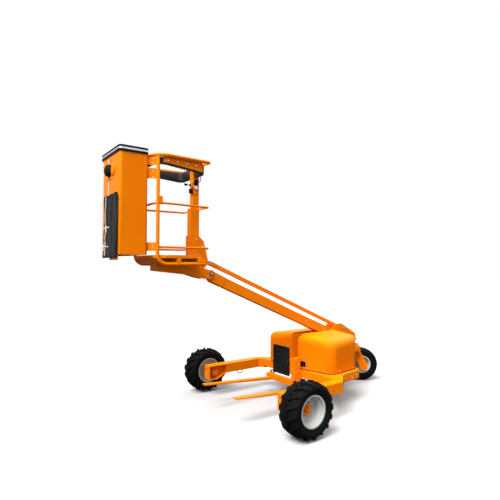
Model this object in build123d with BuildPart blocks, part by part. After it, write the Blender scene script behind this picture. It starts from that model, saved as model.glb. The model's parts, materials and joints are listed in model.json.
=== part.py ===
"""Orchard work platform: three wheels, a lifting boom, a level cage and a fruit bin.

Millimetres. +X is forward, +Y is the machine's left, +Z is up. The origin is on the ground
in the middle of the machine's outline. It is drawn as it stands with its boom part raised
and its rear wheel steered hard over.
"""
import os
from math import cos, pi, radians, sin

from build123d import *

os.makedirs("parts", exist_ok=True)

# Clearances
pin_clearance = 0.08       # radial, pin in its bore
open_pin_clearance = 3.0   # radial, at the level link's front pin
seat_gap = 0.3             # soft piece or turning piece to its seat
side_gap = 8.0             # boom to tower plates, link to its lugs

# Wheels
axle_x = 400.0
front_track = 2055.0
front_tyre_radius = 292.5
front_tyre_width = 262.0
front_rim_radius = 167.0
lug_height = 25.0
lug_count = 16             # on each side of the tread
front_rim_width = 216.0
rear_tyre_radius = 241.0
rear_tyre_width = 186.0
rear_rim_radius = 135.0
rear_rim_width = 150.0
rim_flange = 12.0          # height of the rim's flange over its bead seat
rim_wall = 6.0
rim_drop = 18.0            # well under the bead seats
disc_thickness = 8.0
front_disc_inset = 15.0    # wheel disc inboard of the wheel's middle
rear_disc_inset = -20.0
hub_radius = 45.0
hub_flange_radius = 70.0
hub_flange_thickness = 10.0
hub_nose = 38.0
hub_length = 34.0          # hub behind the disc, to the motor's face
motor_radius = 50.0

# Rear steering
kingpin_x = -1600.0
kingpin_radius = 25.0
kingpin_housing_radius = 45.0
kingpin_low = 490.0
kingpin_high = 560.0
steer_angle = -38.0        # stored pose, from straight ahead, seen from above
rear_offset = 230.0        # wheel's middle to the right of the kingpin
rear_trail = 110.0         # wheel's middle behind the kingpin
steer_leg_gap = 42.0       # kingpin's middle to the leg's inner face
steer_leg_thickness = 20.0
steer_boss_radius = 64.0
crown_radius = 58.0
crown_thickness = 34.0

# Chassis
frame_front_x = -360.0
frame_rear_x = -960.0
frame_front_half = 660.0
frame_rear_half = 570.0
frame_low = 300.0
frame_top = 400.0
deck_thickness = 8.0
rail_width = 60.0
middle_member_width = 50.0

# Tower
slot_half = 66.0
tower_plate = 12.0
tower_front_x = -362.0
pivot_x = -1240.0
pivot_z = 725.0
pivot_pin_radius = 15.0
link_offset = 128.0        # level link's pins over the boom's pins
link_pin_radius = 10.0

# Hoods
hood_front_x = -362.0
hood_rear_x = -1030.0
hood_front_half = 577.0
hood_rear_half = 500.0
hood_inner_y = 82.0
hood_crown_z = 848.0
hood_shoulder_z = 800.0
hood_wall = 5.0
hood_back_radius = 150.0
# Columns: name, side, how far its front runs back towards its outer end, edge radius.
hoods = [("left_hood", 1, 116.0, 105.0), ("right_hood", -1, 0.0, 90.0)]

# Grille and engine
grille_y = (-415.0, -95.0)
grille_z = (272.0, 650.0)
grille_depth = 26.0
grille_border = 14.0
louvre_count = 14
louvre_fall = 18.0
louvre_thickness = 3.0
louvre_inset = 2.0         # from the frame's top bar and its back
engine_x = (-900.0, -430.0)
engine_y = (-480.0, -120.0)
engine_height = 300.0

# Legs
leg_height = 120.0
leg_width = 130.0
leg_root = (-600.0, 545.0)
leg_knee_x = -330.0
leg_inset = 252.5          # leg's middle inboard of the wheel's middle
leg_end_x = 230.0
bracket_front_x = 517.0
bracket_low_z = 222.0
bracket_wall = 12.0

# Bin forks
fork_beam_x = (-290.0, -230.0)
fork_beam_half = 435.0
fork_beam_z = (200.0, 270.0)
fork_post_y = (80.0, 150.0)
fork_post_top = 550.0
fork_ear = (58.0, 34.0)    # inner side and height of the ear beside the post's top
tine_y = 333.0
tine_width = 80.0
tine_heel_x = -272.0
tine_tip_x = 814.0
tine_rise = 78.0
tine_heel_thickness = 30.0
tine_tip_thickness = 12.0
tine_weld_step = 8.0        # chamfer for the weld at the beam
hanger_y = 427.0
hanger_hole_radius = 13.0
hanger_thickness = 12.0

# Boom
boom_angle = 22.9
boom_length = 2383.0
boom_depth = 112.0
boom_width = 100.0
boom_wall = 5.0
boom_drop = 21.0           # box's middle under the line of the pins
boom_box_start = 485.0
boom_box_gap = 63.0        # box's end to the line of the head pin
knuckle_plate = 8.0
knuckle_radius = 40.0
knuckle_end = 690.0
knuckle_deep_start = 300.0
knuckle_top_start = 60.0
head_radius = 40.0
head_overlap = 140.0       # head plates along the box
head_pin_radius = 14.0

# Level link
link_height = 46.0
link_width = 30.0
link_eye_radius = 20.0
link_fork_half = 14.0      # half the fork's opening at the cage
link_fork_cheek = 10.0
link_fork_length = 110.0
link_lug_half = 9.0        # cage's lug in the fork

# Lift cylinder
lift_reach = 401.0         # boom's pivot to the rod's pin, along and under the boom
lift_drop_angle = 6.1
lift_base_radius = 400.0   # boom's pivot to the barrel's pin
lift_base_angle = -88.0
lift_pin_radius = 12.5
barrel_radius = 34.0
barrel_bore = 28.0
barrel_back = 34.0
barrel_end = 430.0
rod_radius = 20.0
rod_length = 405.0
lift_eye_radius = 27.0
lift_eye_half = 30.0

# Cage. It is drawn for a head pin here, and each of its pieces is moved to the boom's pin.
drawn_pin_x = 955.0
drawn_pin_z = 1652.0
cage_plate = 12.0
cage_plate_inner = 66.0
floor_top = 1850.0
floor_thickness = 5.0
floor_edge = 26.0
floor_rear_x = 1206.0
floor_inset = 12.0         # inside the ring's line
floor_wall = 6.0
apron_thickness = 5.0
base_front_x = 1625.0
mast_rear_x = 1100.0
mast_low_depth = 102.0
mast_low_half = 45.0
mast_step_z = 2385.0
mast_top_depth = 76.0
mast_top_half = 35.0
mast_foot_z = 1690.0
ring_z = 2850.0
ring_tube = 17.5
ring_rear_x = 1122.0
ring_front_x = 1751.0
ring_rear_half = 310.0
ring_front_half = 350.0
ring_front_corner = 150.0
ring_rear_corner = 110.0
rail_tube = 11.0
mid_rail_z = 2370.0
low_rail_z = 1930.0
post_inset = 44.0          # under the middle of the ring's front corner
post_tube = 17.5
rail_inset = post_tube + rail_tube   # rails run inside the posts
post_foot_z = 1762.0
post_bend = 100.0
post_run_x = 1180.0
post_lean = 13.0            # how far a post's bend leads back at the floor
band_x = (1200.0, 1650.0)
band_thickness = 4.0
band_inset = ring_tube + 1.1   # from the ring's line, measured across the machine
pad_thickness = 26.0
pad_top_z = 2842.0
pad_low_z = (2712.0, 2768.0)   # at the rear and at the front
band_rise = 22.0           # band's lower edge over the pad's
bearers = [(1215.0, 80.0), (1480.0, 46.0)]   # middle and width

# Controls on the mast's left side
console_thickness = 8.0
console_z = (2545.0, 2705.0)
switch_box = (42.0, 34.0, 56.0)
dial_radius = 24.0
lever_reach = 62.0
lever_z = 2648.0

# Fruit bin
bin_x = (1800.0, 2083.0)
bin_half = 278.0
bin_z = (1850.0, 2840.0)
bin_wall = 4.0
bin_corner = 24.0
rim_height = 60.0
rim_overhang = 8.0
rim_bands = 3
rim_groove = 5.0
flap_z = (1822.0, 2445.0)
# Folds of the canvas chute. Columns: middle across the bin, width, depth.
flap_folds = [(-128.0, 80.0, 11.0), (-58.0, 76.0, 15.0), (12.0, 76.0, 12.0),
              (84.0, 80.0, 17.0), (158.0, 84.0, 13.0), (225.0, 74.0, 19.0)]
bracket_strip = 8.0         # steel strips that hold the bin to the posts
bracket_heights = [(1890.0, 1975.0), (2610.0, 2700.0), (2745.0, 2825.0)]
bracket_bin_y = 262.0


def upright(y):
    """Plane seen from the machine's right: x forward, y up, standing at a width y."""
    return Plane.XZ.offset(-y)


def slab(outline, y_low, y_high, holes=()):
    """Plate between two widths, cut to an outline in x and z, with round holes."""
    with BuildPart() as plate:
        with BuildSketch(upright(y_low)):
            with BuildLine():
                Polyline(*outline, close=True)
            make_face()
            for hole_x, hole_z, radius in holes:
                with Locations((hole_x, hole_z)):
                    Circle(radius, mode=Mode.SUBTRACT)
        extrude(amount=-(y_high - y_low))
    return plate.part


def rod_between(x, z, y_low, y_high, radius, bore=0.0):
    """Round bar across the machine, hollow if it has a bore."""
    with BuildPart() as bar:
        with BuildSketch(upright(y_low)):
            with Locations((x, z)):
                Circle(radius)
                if bore:
                    Circle(bore, mode=Mode.SUBTRACT)
        extrude(amount=-(y_high - y_low))
    return bar.part


# Wheels. Each is drawn round its own axle: first the radius, then the way outboard.
def wheel_plane(centre, outboard):
    """Plane through an axle: x is the radius upwards, y points outboard."""
    return Plane(origin=centre, x_dir=(0, 0, 1), z_dir=(-outboard[1], outboard[0], 0))


# One side of a tyre's section, from the bead to the middle of the tread.
# Columns: share of the way from the rim to the tread, share of half the width.
tyre_section = [
    (0.02, None),
    (0.22, 0.93),
    (0.48, 1.00),
    (0.72, 0.97),
    (0.88, 0.86),
    (0.97, 0.55),
    (1.00, 0.00),
]
# The rear tyre's ribs. Columns: middle and half width of a groove, shares of half the width.
rib_grooves = [(0.0, 0.045), (0.36, 0.045)]
rib_groove_depth = 7.0
# A front tyre's lug, drawn flat. Columns: way along the tread, way out from its middle,
# both for the lug's middle line, and half the lug's width there.
lug_line = [(50.0, 3.0, 12.0), (6.0, 62.0, 14.0), (-34.0, 142.0, 17.0)]


def tyre(centre, outboard, radius, width, rim_radius, rim_width):
    """Tyre seated on its rim, with rounded shoulders and bulged walls."""
    seat = rim_radius - rim_flange
    bead = rim_width / 2 - rim_wall
    side = [
        (rim_radius + up * (radius - rim_radius), bead if out is None else out * width / 2)
        for up, out in tyre_section
    ]
    mirrored = [(up, -out) for up, out in reversed(side[:-1])]
    with BuildPart() as body:
        with BuildSketch(wheel_plane(centre, outboard)):
            with BuildLine():
                Polyline((seat, bead), *side, *mirrored, (seat, -bead), close=True)
            make_face()
        revolve(axis=Axis(centre, outboard))
    return body.part


def tread_plane(centre, outboard, radius, angle):
    """Plane touching a tyre: x along the tread, y outboard, z away from the axle."""
    away = (sin(angle), 0, cos(angle))
    along = (cos(angle), 0, -sin(angle))
    origin = tuple(c + radius * a for c, a in zip(centre, away))
    return Plane(origin=origin, x_dir=along, z_dir=away)


def lugged_tyre(centre, outboard, radius, width, rim_radius, rim_width):
    """Farm tyre: a carcass with slanted lugs that reach the full radius."""
    carcass = tyre(centre, outboard, radius - lug_height, width, rim_radius, rim_width)
    crown = radius - lug_height
    with BuildPart() as envelope:
        with BuildSketch(wheel_plane(centre, outboard)):
            with BuildLine():
                Polyline((crown - 12, 0.86 * width / 2), (crown - 60, 0.97 * width / 2),
                         (crown - 46, width / 2), (crown - 10, 0.99 * width / 2),
                         (radius - 14, 0.80 * width / 2), (radius - 4, 0.42 * width / 2),
                         (radius, 0), (radius - 4, -0.42 * width / 2),
                         (radius - 14, -0.80 * width / 2), (crown - 10, -0.99 * width / 2),
                         (crown - 46, -width / 2), (crown - 60, -0.97 * width / 2),
                         (crown - 12, -0.86 * width / 2), (crown - 6, 0), close=True)
            make_face()
        revolve(axis=Axis(centre, outboard))
    ahead = [(along + half, out) for along, out, half in lug_line]
    behind = [(along - half, out) for along, out, half in reversed(lug_line)]
    with BuildPart() as bars:
        for side in (-1, 1):
            for number in range(lug_count):
                angle = 2 * pi * (number + side / 4) / lug_count
                with BuildSketch(tread_plane(centre, outboard, radius - 75, angle)):
                    with BuildLine():
                        Polyline(*[(along, side * out) for along, out in ahead + behind],
                                 close=True)
                    make_face()
                extrude(amount=90)
        add(envelope.part, mode=Mode.INTERSECT)
    with BuildPart() as body:
        add(carcass)
        add(bars.part)
    return body.part


def ribbed_tyre(centre, outboard, radius, width, rim_radius, rim_width):
    """Smooth steering tyre with grooves round its tread."""
    with BuildPart() as body:
        add(tyre(centre, outboard, radius, width, rim_radius, rim_width))
        with BuildSketch(wheel_plane(centre, outboard)):
            for share, half_share in rib_grooves:
                for out in (share, -share):
                    with Locations((radius + 10 - rib_groove_depth, out * width / 2)):
                        Rectangle(20, half_share * width)
        revolve(axis=Axis(centre, outboard), mode=Mode.SUBTRACT)
    return body.part


def rim(centre, outboard, rim_radius, rim_width, disc_inset):
    """Pressed steel rim: flanges, bead seats, a drop centre and a dished disc."""
    seat = rim_radius - rim_flange - rim_wall / 2
    lip = rim_width / 2 - rim_wall / 2
    well = seat - rim_drop
    disc_rise = 0.30 * (well - hub_radius)
    side = [(rim_radius - 1, lip), (seat, lip), (seat, 0.62 * lip), (well, 0.40 * lip)]
    mirrored = [(up, -out) for up, out in reversed(side)]
    with BuildPart() as body:
        with BuildSketch(wheel_plane(centre, outboard)):
            with BuildLine():
                Polyline(*side, *mirrored)
            trace(line_width=rim_wall)
        revolve(axis=Axis(centre, outboard))
        with BuildSketch(wheel_plane(centre, outboard)):
            with BuildLine():
                Polyline((hub_radius - 1, -disc_inset), (hub_flange_radius + 8, -disc_inset),
                         (well - disc_rise, -disc_inset - disc_rise / 2),
                         (well - 1, -disc_inset - disc_rise / 2))
            trace(line_width=disc_thickness)
        revolve(axis=Axis(centre, outboard))
    return body.part


def hub(centre, outboard, disc_inset):
    """Hub through the wheel disc, with its bolting flange and its nose outboard."""
    disc_face = -disc_inset + disc_thickness / 2
    back = -disc_inset - disc_thickness / 2 - hub_length
    with BuildPart() as body:
        with BuildSketch(wheel_plane(centre, outboard)):
            with BuildLine():
                Polyline(
                    (0, back),
                    (hub_radius - 1, back),
                    (hub_radius - 1, disc_face),
                    (hub_flange_radius, disc_face),
                    (hub_flange_radius, disc_face + hub_flange_thickness),
                    (hub_radius, disc_face + hub_flange_thickness),
                    (hub_radius - 8, disc_face + hub_nose),
                    (0, disc_face + hub_nose),
                    close=True,
                )
            make_face()
        revolve(axis=Axis(centre, outboard))
    return body.part


def motor(centre, outboard, disc_inset, inboard_end, radius):
    """Wheel motor, from its seat on the leg to just short of the turning hub."""
    face = -disc_inset - disc_thickness / 2 - hub_length - seat_gap
    with BuildPart() as body:
        with BuildSketch(wheel_plane(centre, outboard)):
            with BuildLine():
                Polyline((0, inboard_end), (radius, inboard_end), (radius, face - 22),
                         (radius - 14, face), (0, face), close=True)
            make_face()
        revolve(axis=Axis(centre, outboard))
    return body.part


rear_turn = radians(steer_angle)
rear_ahead = (cos(rear_turn), sin(rear_turn))
rear_left = (-sin(rear_turn), cos(rear_turn))
rear_centre = (
    kingpin_x - rear_trail * rear_ahead[0] - rear_offset * rear_left[0],
    -rear_trail * rear_ahead[1] - rear_offset * rear_left[1],
    rear_tyre_radius,
)

# Columns: name, middle, outboard direction, tyre radius and width, rim radius and width,
# how far the disc lies inboard.
wheels = [
    ("front_left", (axle_x, front_track / 2, front_tyre_radius), (0, 1, 0),
     front_tyre_radius, front_tyre_width, front_rim_radius, front_rim_width, front_disc_inset),
    ("front_right", (axle_x, -front_track / 2, front_tyre_radius), (0, -1, 0),
     front_tyre_radius, front_tyre_width, front_rim_radius, front_rim_width, front_disc_inset),
    ("rear", rear_centre, (-rear_left[0], -rear_left[1], 0),
     rear_tyre_radius, rear_tyre_width, rear_rim_radius, rear_rim_width, rear_disc_inset),
]
for name, middle, outboard, radius, width, rim_radius, rim_width, inset in wheels:
    make_tyre = ribbed_tyre if name == "rear" else lugged_tyre
    wheel_tyre = make_tyre(middle, outboard, radius, width, rim_radius, rim_width)
    wheel_tyre.label = f"{name}_tyre"
    export_step(wheel_tyre, f"parts/{name}_tyre.step")
    wheel_rim = rim(middle, outboard, rim_radius, rim_width, inset)
    wheel_rim.label = f"{name}_rim"
    export_step(wheel_rim, f"parts/{name}_rim.step")
    wheel_hub = hub(middle, outboard, inset)
    wheel_hub.label = f"{name}_hub"
    export_step(wheel_hub, f"parts/{name}_hub.step")

# Chassis frame: a tapered deck on side rails, open below.
frame_outline = [
    (frame_front_x, frame_front_half),
    (frame_rear_x, frame_rear_half),
    (frame_rear_x, -frame_rear_half),
    (frame_front_x, -frame_front_half),
]
frame_length = frame_front_x - frame_rear_x
bay_length = (frame_length - 2 * rail_width - middle_member_width) / 2
with BuildPart() as chassis_frame:
    with BuildSketch(Plane.XY.offset(frame_low)):
        with BuildLine():
            Polyline(*frame_outline, close=True)
        make_face()
    extrude(amount=frame_top - frame_low)
    with BuildSketch(Plane.XY.offset(frame_low)):
        with BuildLine():
            Polyline(*frame_outline, close=True)
        make_face()
        offset(amount=-rail_width, kind=Kind.INTERSECTION, mode=Mode.REPLACE)
        with Locations(((frame_front_x + frame_rear_x) / 2, 0)):
            Rectangle(middle_member_width, 2 * frame_front_half, mode=Mode.SUBTRACT)
            Rectangle(frame_length, 2 * slot_half + 2 * tower_plate, mode=Mode.SUBTRACT)
    extrude(amount=frame_top - deck_thickness - frame_low, mode=Mode.SUBTRACT)
chassis_frame.part.label = "chassis_frame"
export_step(chassis_frame.part, "parts/chassis_frame.step")

# Tower: two plates with the boom's slot between them, and the kingpin's housing behind.
lift_base_x = pivot_x + lift_base_radius * cos(radians(lift_base_angle))
lift_base_z = pivot_z + lift_base_radius * sin(radians(lift_base_angle))
link_pin_z = pivot_z + link_offset
tower_outline = [
    (tower_front_x, frame_top),
    (tower_front_x, 780),
    (tower_front_x - 40, 818),
    (-960, 838),
    (-1074, 925),
    (-1190, 925),
    (-1475, 765),
    (-1510, 655),
    (-1420, 640),
    (-1420, 575),
    (-1500, kingpin_high),
    (-1500, kingpin_low),
    (-1385, kingpin_low),
    (-1322, 412),
    (-1285, 378),
    (lift_base_x - 32, lift_base_z + 12),
    (lift_base_x - 32, lift_base_z - 20),
    (lift_base_x - 10, lift_base_z - 36),
    (frame_rear_x, 290),
    (frame_rear_x, frame_top),
]
tower_holes = [
    (pivot_x, pivot_z, pivot_pin_radius),
    (pivot_x, link_pin_z, link_pin_radius),
    (lift_base_x, lift_base_z, lift_pin_radius),
]
tower_outer = slot_half + tower_plate
with BuildPart() as tower:
    add(slab(tower_outline, slot_half, tower_outer, tower_holes))
    add(slab(tower_outline, -tower_outer, -slot_half, tower_holes))
    with BuildSketch(Plane.XY.offset(kingpin_low)):
        with Locations((kingpin_x, 0)):
            Circle(kingpin_housing_radius)
        with Locations(((kingpin_x - 1440) / 2, 0)):
            Rectangle(-1440 - kingpin_x, 2 * slot_half)
        with Locations((kingpin_x, 0)):
            Circle(kingpin_radius + pin_clearance, mode=Mode.SUBTRACT)
    extrude(amount=kingpin_high - kingpin_low)
    with BuildSketch(Plane.YZ.offset(-1480)):
        with Locations((0, 700)):
            Rectangle(2 * slot_half, 90)
    extrude(amount=10)
tower.part.label = "tower"
export_step(tower.part, "parts/tower.step")

# Columns: name, height, radius, half length.
pins = [
    ("main_pin", pivot_z, pivot_pin_radius, tower_outer + 10),
    ("link_pin", link_pin_z, link_pin_radius, tower_outer + 8),
]
with BuildPart() as tower_pins:
    for name, pin_z, radius, half in pins:
        add(rod_between(pivot_x, pin_z, -half, half, radius))
    lift_base_half = tower_outer + 8
    add(rod_between(lift_base_x, lift_base_z, -lift_base_half, lift_base_half, lift_pin_radius))
tower_pins.part.label = "tower_pins"
export_step(tower_pins.part, "parts/tower_pins.step")


# Hoods
def hood_block(side, run_back, edge_radius, inset):
    """Rounded body of one hood, drawn smaller by an inset for its hollow."""
    inner = hood_inner_y + inset
    front = hood_front_x - inset
    rear = hood_rear_x + inset
    front_half = hood_front_half - inset
    rear_half = hood_rear_half - inset
    crown = hood_crown_z - inset
    shoulder = hood_shoulder_z - inset
    foot = frame_top
    with BuildPart() as block:
        with BuildSketch(Plane.YZ.offset(rear)):
            with BuildLine():
                Polyline((side * inner, foot), (side * inner, crown),
                         (side * front_half, shoulder), (side * front_half, foot), close=True)
            make_face()
        extrude(amount=front - rear)
        with BuildSketch(Plane.XY.offset(foot)):
            with BuildLine():
                Polyline((front, side * inner), (front - run_back, side * front_half),
                         (rear, side * rear_half), (rear, side * inner), close=True)
            make_face()
        extrude(amount=crown - foot, mode=Mode.INTERSECT)
        with BuildSketch(upright(0)):
            with BuildLine():
                Polyline((front, foot), (front, crown), (rear, crown), (rear, foot), close=True)
            profile = make_face()
            tail = [v for v in profile.vertices() if v.Z > foot + 50 and v.X < rear + 50]
            fillet(tail, hood_back_radius - inset)
        extrude(amount=front_half + 50, both=True, mode=Mode.INTERSECT)
        outer = [e for e in block.edges() if abs(e.center().Y) > rear_half - 5
                 and e.center().Z > foot + 10]
        brow = [e for e in block.edges() if e.center().X > front - run_back - 5
                and abs(e.center().Y) > inner + 30 and e.center().Z > foot + 50]
        fillet(list(set(outer + brow)), edge_radius - inset)
    return block.part


for name, side, run_back, edge_radius in hoods:
    with BuildPart() as hood:
        add(hood_block(side, run_back, edge_radius, 0))
        add(hood_block(side, run_back, edge_radius, hood_wall), mode=Mode.SUBTRACT)
    hood.part.label = name
    export_step(hood.part, f"parts/{name}.step")

# Grille in front of the right hood, and the engine behind it
grille_middle = (sum(grille_y) / 2, sum(grille_z) / 2)
grille_size = (grille_y[1] - grille_y[0], grille_z[1] - grille_z[0])
louvre_pitch = (grille_size[1] - 2 * grille_border) / louvre_count
with BuildPart() as grille:
    with BuildSketch(Plane.YZ.offset(frame_front_x)):
        with Locations(grille_middle):
            Rectangle(*grille_size)
            Rectangle(grille_size[0] - 2 * grille_border, grille_size[1] - 2 * grille_border,
                      mode=Mode.SUBTRACT)
    extrude(amount=grille_depth)
    for number in range(louvre_count):
        high = grille_z[1] - grille_border - louvre_inset - number * louvre_pitch
        low = high - louvre_fall
        back = frame_front_x + louvre_inset
        front = frame_front_x + grille_depth - 2 * louvre_inset
        louvre = [(back, high), (front, low), (front, low - louvre_thickness),
                  (back, high - louvre_thickness)]
        add(slab(louvre, grille_y[0] + grille_border - 1, grille_y[1] - grille_border + 1))
grille.part.label = "grille"
export_step(grille.part, "parts/grille.step")

with BuildPart() as engine_block:
    with BuildSketch(Plane.XY.offset(frame_top)):
        with Locations((sum(engine_x) / 2, sum(engine_y) / 2)):
            Rectangle(engine_x[1] - engine_x[0], engine_y[1] - engine_y[0])
    extrude(amount=engine_height)
engine_block.part.label = "engine_block"
export_step(engine_block.part, "parts/engine_block.step")

knee_y = front_track / 2 - leg_inset


# Legs: a box beam that leaves the chassis at a slant, then runs forward beside the wheel
def leg_body(side):
    """One leg with the bracket that holds its wheel motor."""
    outer_y = knee_y + leg_width / 2
    inner_y = knee_y - leg_width / 2
    web_y = outer_y - bracket_wall
    with BuildPart() as leg:
        with BuildSketch(Plane.XY.offset(frame_top - leg_height)):
            with BuildLine():
                Polyline((leg_root[0], side * leg_root[1]), (leg_knee_x, side * knee_y),
                         (leg_end_x, side * knee_y))
            trace(line_width=leg_width)
        extrude(amount=leg_height)
        with BuildSketch(Plane.XY.offset(frame_low - 50)):
            with BuildLine():
                Polyline(*frame_outline, close=True)
            make_face()
        extrude(amount=200, mode=Mode.SUBTRACT)
        bracket = [
            (leg_end_x, frame_top),
            (bracket_front_x, frame_top),
            (bracket_front_x, bracket_low_z),
            (axle_x, bracket_low_z - 14),
            (leg_end_x, frame_top - leg_height),
        ]
        low, high = sorted((side * inner_y, side * outer_y))
        add(slab(bracket, low, high))
        pocket_low, pocket_high = sorted((side * (inner_y - 1), side * web_y))
        wall = bracket_wall
        pocket = [
            (leg_end_x + wall, frame_top - wall),
            (bracket_front_x - wall, frame_top - wall),
            (bracket_front_x - wall, bracket_low_z + wall),
            (axle_x, bracket_low_z - 14 + wall),
            (leg_end_x + wall, frame_top - leg_height + wall - 6),
        ]
        add(slab(pocket, pocket_low, pocket_high), mode=Mode.SUBTRACT)
        hole_low, hole_high = sorted((side * (web_y - 1), side * (outer_y + 1)))
        add(rod_between(axle_x, front_tyre_radius, hole_low, hole_high, motor_radius),
            mode=Mode.SUBTRACT)
    return leg.part


motor_inboard = -leg_inset - 25
for name, side in (("left", 1), ("right", -1)):
    leg = leg_body(side)
    leg.label = f"{name}_leg"
    export_step(leg, f"parts/{name}_leg.step")
    wheel_middle = (axle_x, side * front_track / 2, front_tyre_radius)
    wheel_motor = motor(wheel_middle, (0, side, 0), front_disc_inset, motor_inboard, motor_radius)
    wheel_motor.label = f"{name}_motor"
    export_step(wheel_motor, f"parts/{name}_motor.step")

# Steering leg: kingpin, crown and a plate down to the rear wheel's motor
steer_plane = Plane(origin=(kingpin_x, 0, 0), x_dir=(*rear_ahead, 0), z_dir=(0, 0, 1))
crown_top = kingpin_low - seat_gap
with BuildPart() as steer_leg:
    with BuildSketch(steer_plane.offset(crown_top - crown_thickness)):
        Circle(crown_radius)
        with Locations((-8, -steer_leg_gap / 2 - 12)):
            Rectangle(2 * crown_radius - 30, steer_leg_gap + 16)
    extrude(amount=crown_thickness)
    with BuildSketch(steer_plane.offset(crown_top)):
        Circle(kingpin_radius)
    extrude(amount=kingpin_high - crown_top + 12)
    with BuildSketch(Plane(origin=(kingpin_x - steer_leg_gap * rear_left[0],
                                   -steer_leg_gap * rear_left[1], 0),
                           x_dir=(-rear_ahead[0], -rear_ahead[1], 0),
                           z_dir=(rear_left[0], rear_left[1], 0))):
        with Locations((rear_trail, rear_tyre_radius)):
            Circle(steer_boss_radius)
        with Locations((8, crown_top - crown_thickness / 2)):
            Rectangle(2 * crown_radius - 30, crown_thickness)
        make_hull()
    extrude(amount=-steer_leg_thickness)
steer_leg.part.label = "steer_leg"
export_step(steer_leg.part, "parts/steer_leg.step")

rear_motor = motor(rear_centre, (-rear_left[0], -rear_left[1], 0), rear_disc_inset,
                   -(rear_offset - steer_leg_gap - steer_leg_thickness), hub_radius)
rear_motor.label = "rear_motor"
export_step(rear_motor, "parts/rear_motor.step")

# Bin forks: a cross beam hung under the chassis, a post beside the slot and two tines
beam_x = sum(fork_beam_x) / 2
beam_z = sum(fork_beam_z) / 2
with BuildPart() as fork_carrier:
    with BuildSketch(upright(0)):
        with Locations((beam_x, beam_z)):
            Rectangle(fork_beam_x[1] - fork_beam_x[0], fork_beam_z[1] - fork_beam_z[0])
    extrude(amount=fork_beam_half, both=True)
    post = [(fork_beam_x[1], fork_beam_z[1]), (fork_beam_x[1], fork_post_top),
            (frame_front_x + grille_depth + 4, fork_post_top),
            (frame_front_x + grille_depth + 4, frame_top),
            (frame_front_x, frame_top), (frame_front_x, fork_beam_z[1])]
    add(slab(post, *fork_post_y))
    ear_x = (frame_front_x + grille_depth + 4, frame_front_x + grille_depth + 16)
    ear_low = fork_post_top - fork_ear[1]
    add(slab([(ear_x[0], ear_low), (ear_x[1], ear_low), (ear_x[1], fork_post_top),
              (ear_x[0], fork_post_top)], fork_ear[0], fork_post_y[0]))
    hanger = [(frame_front_x - 80, frame_low), (fork_beam_x[0], frame_low),
              (fork_beam_x[0], fork_beam_z[0]), (fork_beam_x[0] - 20, fork_beam_z[0])]
    hanger_hole = [(frame_front_x + 22, frame_low - 34, hanger_hole_radius)]
    for middle in (-hanger_y, hanger_y):
        add(slab(hanger, middle - hanger_thickness / 2, middle + hanger_thickness / 2,
                 hanger_hole))
fork_carrier.part.label = "fork_carrier"
export_step(fork_carrier.part, "parts/fork_carrier.step")

tine_slope = tine_rise / (tine_tip_x - tine_heel_x)
tine_start_z = beam_z - 20 + (fork_beam_x[1] - tine_heel_x) * tine_slope
tine_outline = [
    (fork_beam_x[1], tine_start_z - tine_heel_thickness / 2),
    (tine_tip_x, tine_start_z + tine_rise - tine_tip_thickness / 2),
    (tine_tip_x, tine_start_z + tine_rise + tine_tip_thickness / 2),
    (fork_beam_x[1] + tine_weld_step, tine_start_z + tine_heel_thickness / 2),
    (fork_beam_x[1], tine_start_z + tine_heel_thickness / 2 - tine_weld_step),
]
for name, side in (("left_tine", 1), ("right_tine", -1)):
    low = side * tine_y - tine_width / 2
    tine = slab(tine_outline, low, low + tine_width)
    tine.label = name
    export_step(tine, f"parts/{name}.step")

# Boom: a box with two knuckle plates at its foot and two head plates at its top
boom_ahead = (cos(radians(boom_angle)), sin(radians(boom_angle)))
boom_box_end = boom_length - boom_box_gap
head_start = boom_box_end - head_overlap
boom_plane = Plane(origin=(pivot_x, 0, pivot_z), x_dir=(boom_ahead[0], 0, boom_ahead[1]),
                   z_dir=(0, -1, 0))
box_middle = (boom_box_start + boom_box_end) / 2
box_length = boom_box_end - boom_box_start
boom_half = boom_width / 2
with BuildPart() as boom_box:
    with BuildSketch(boom_plane):
        with Locations((box_middle, -boom_drop)):
            Rectangle(box_length, boom_depth)
    extrude(amount=boom_half, both=True)
    with BuildSketch(boom_plane):
        with Locations((box_middle, -boom_drop)):
            Rectangle(box_length + 2, boom_depth - 2 * boom_wall)
    extrude(amount=boom_half - boom_wall, both=True, mode=Mode.SUBTRACT)
boom_box.part.label = "boom_box"
export_step(boom_box.part, "parts/boom_box.step")

lift_eye_s = lift_reach * cos(radians(lift_drop_angle))
lift_eye_t = -lift_reach * sin(radians(lift_drop_angle))
top_face = boom_depth / 2 - boom_drop
with BuildPart() as boom_knuckle:
    for face in (boom_half, -boom_half - knuckle_plate):
        with BuildSketch(boom_plane.offset(face)):
            Circle(knuckle_radius)
            with Locations(((knuckle_deep_start + knuckle_end) / 2, -boom_drop)):
                Rectangle(knuckle_end - knuckle_deep_start, boom_depth)
            make_hull()
            Circle(pivot_pin_radius + pin_clearance, mode=Mode.SUBTRACT)
            with Locations((lift_eye_s, lift_eye_t)):
                Circle(lift_pin_radius, mode=Mode.SUBTRACT)
        extrude(amount=knuckle_plate)
    with BuildSketch(boom_plane):
        Circle(pivot_pin_radius + 12)
        Circle(pivot_pin_radius + pin_clearance, mode=Mode.SUBTRACT)
    extrude(amount=boom_half, both=True)
    with BuildSketch(boom_plane):
        with Locations(((knuckle_top_start + boom_box_start) / 2, top_face - 4)):
            Rectangle(boom_box_start - knuckle_top_start, 8)
    extrude(amount=boom_half, both=True)
boom_knuckle.part.label = "boom_knuckle"
export_step(boom_knuckle.part, "parts/boom_knuckle.step")

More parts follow.
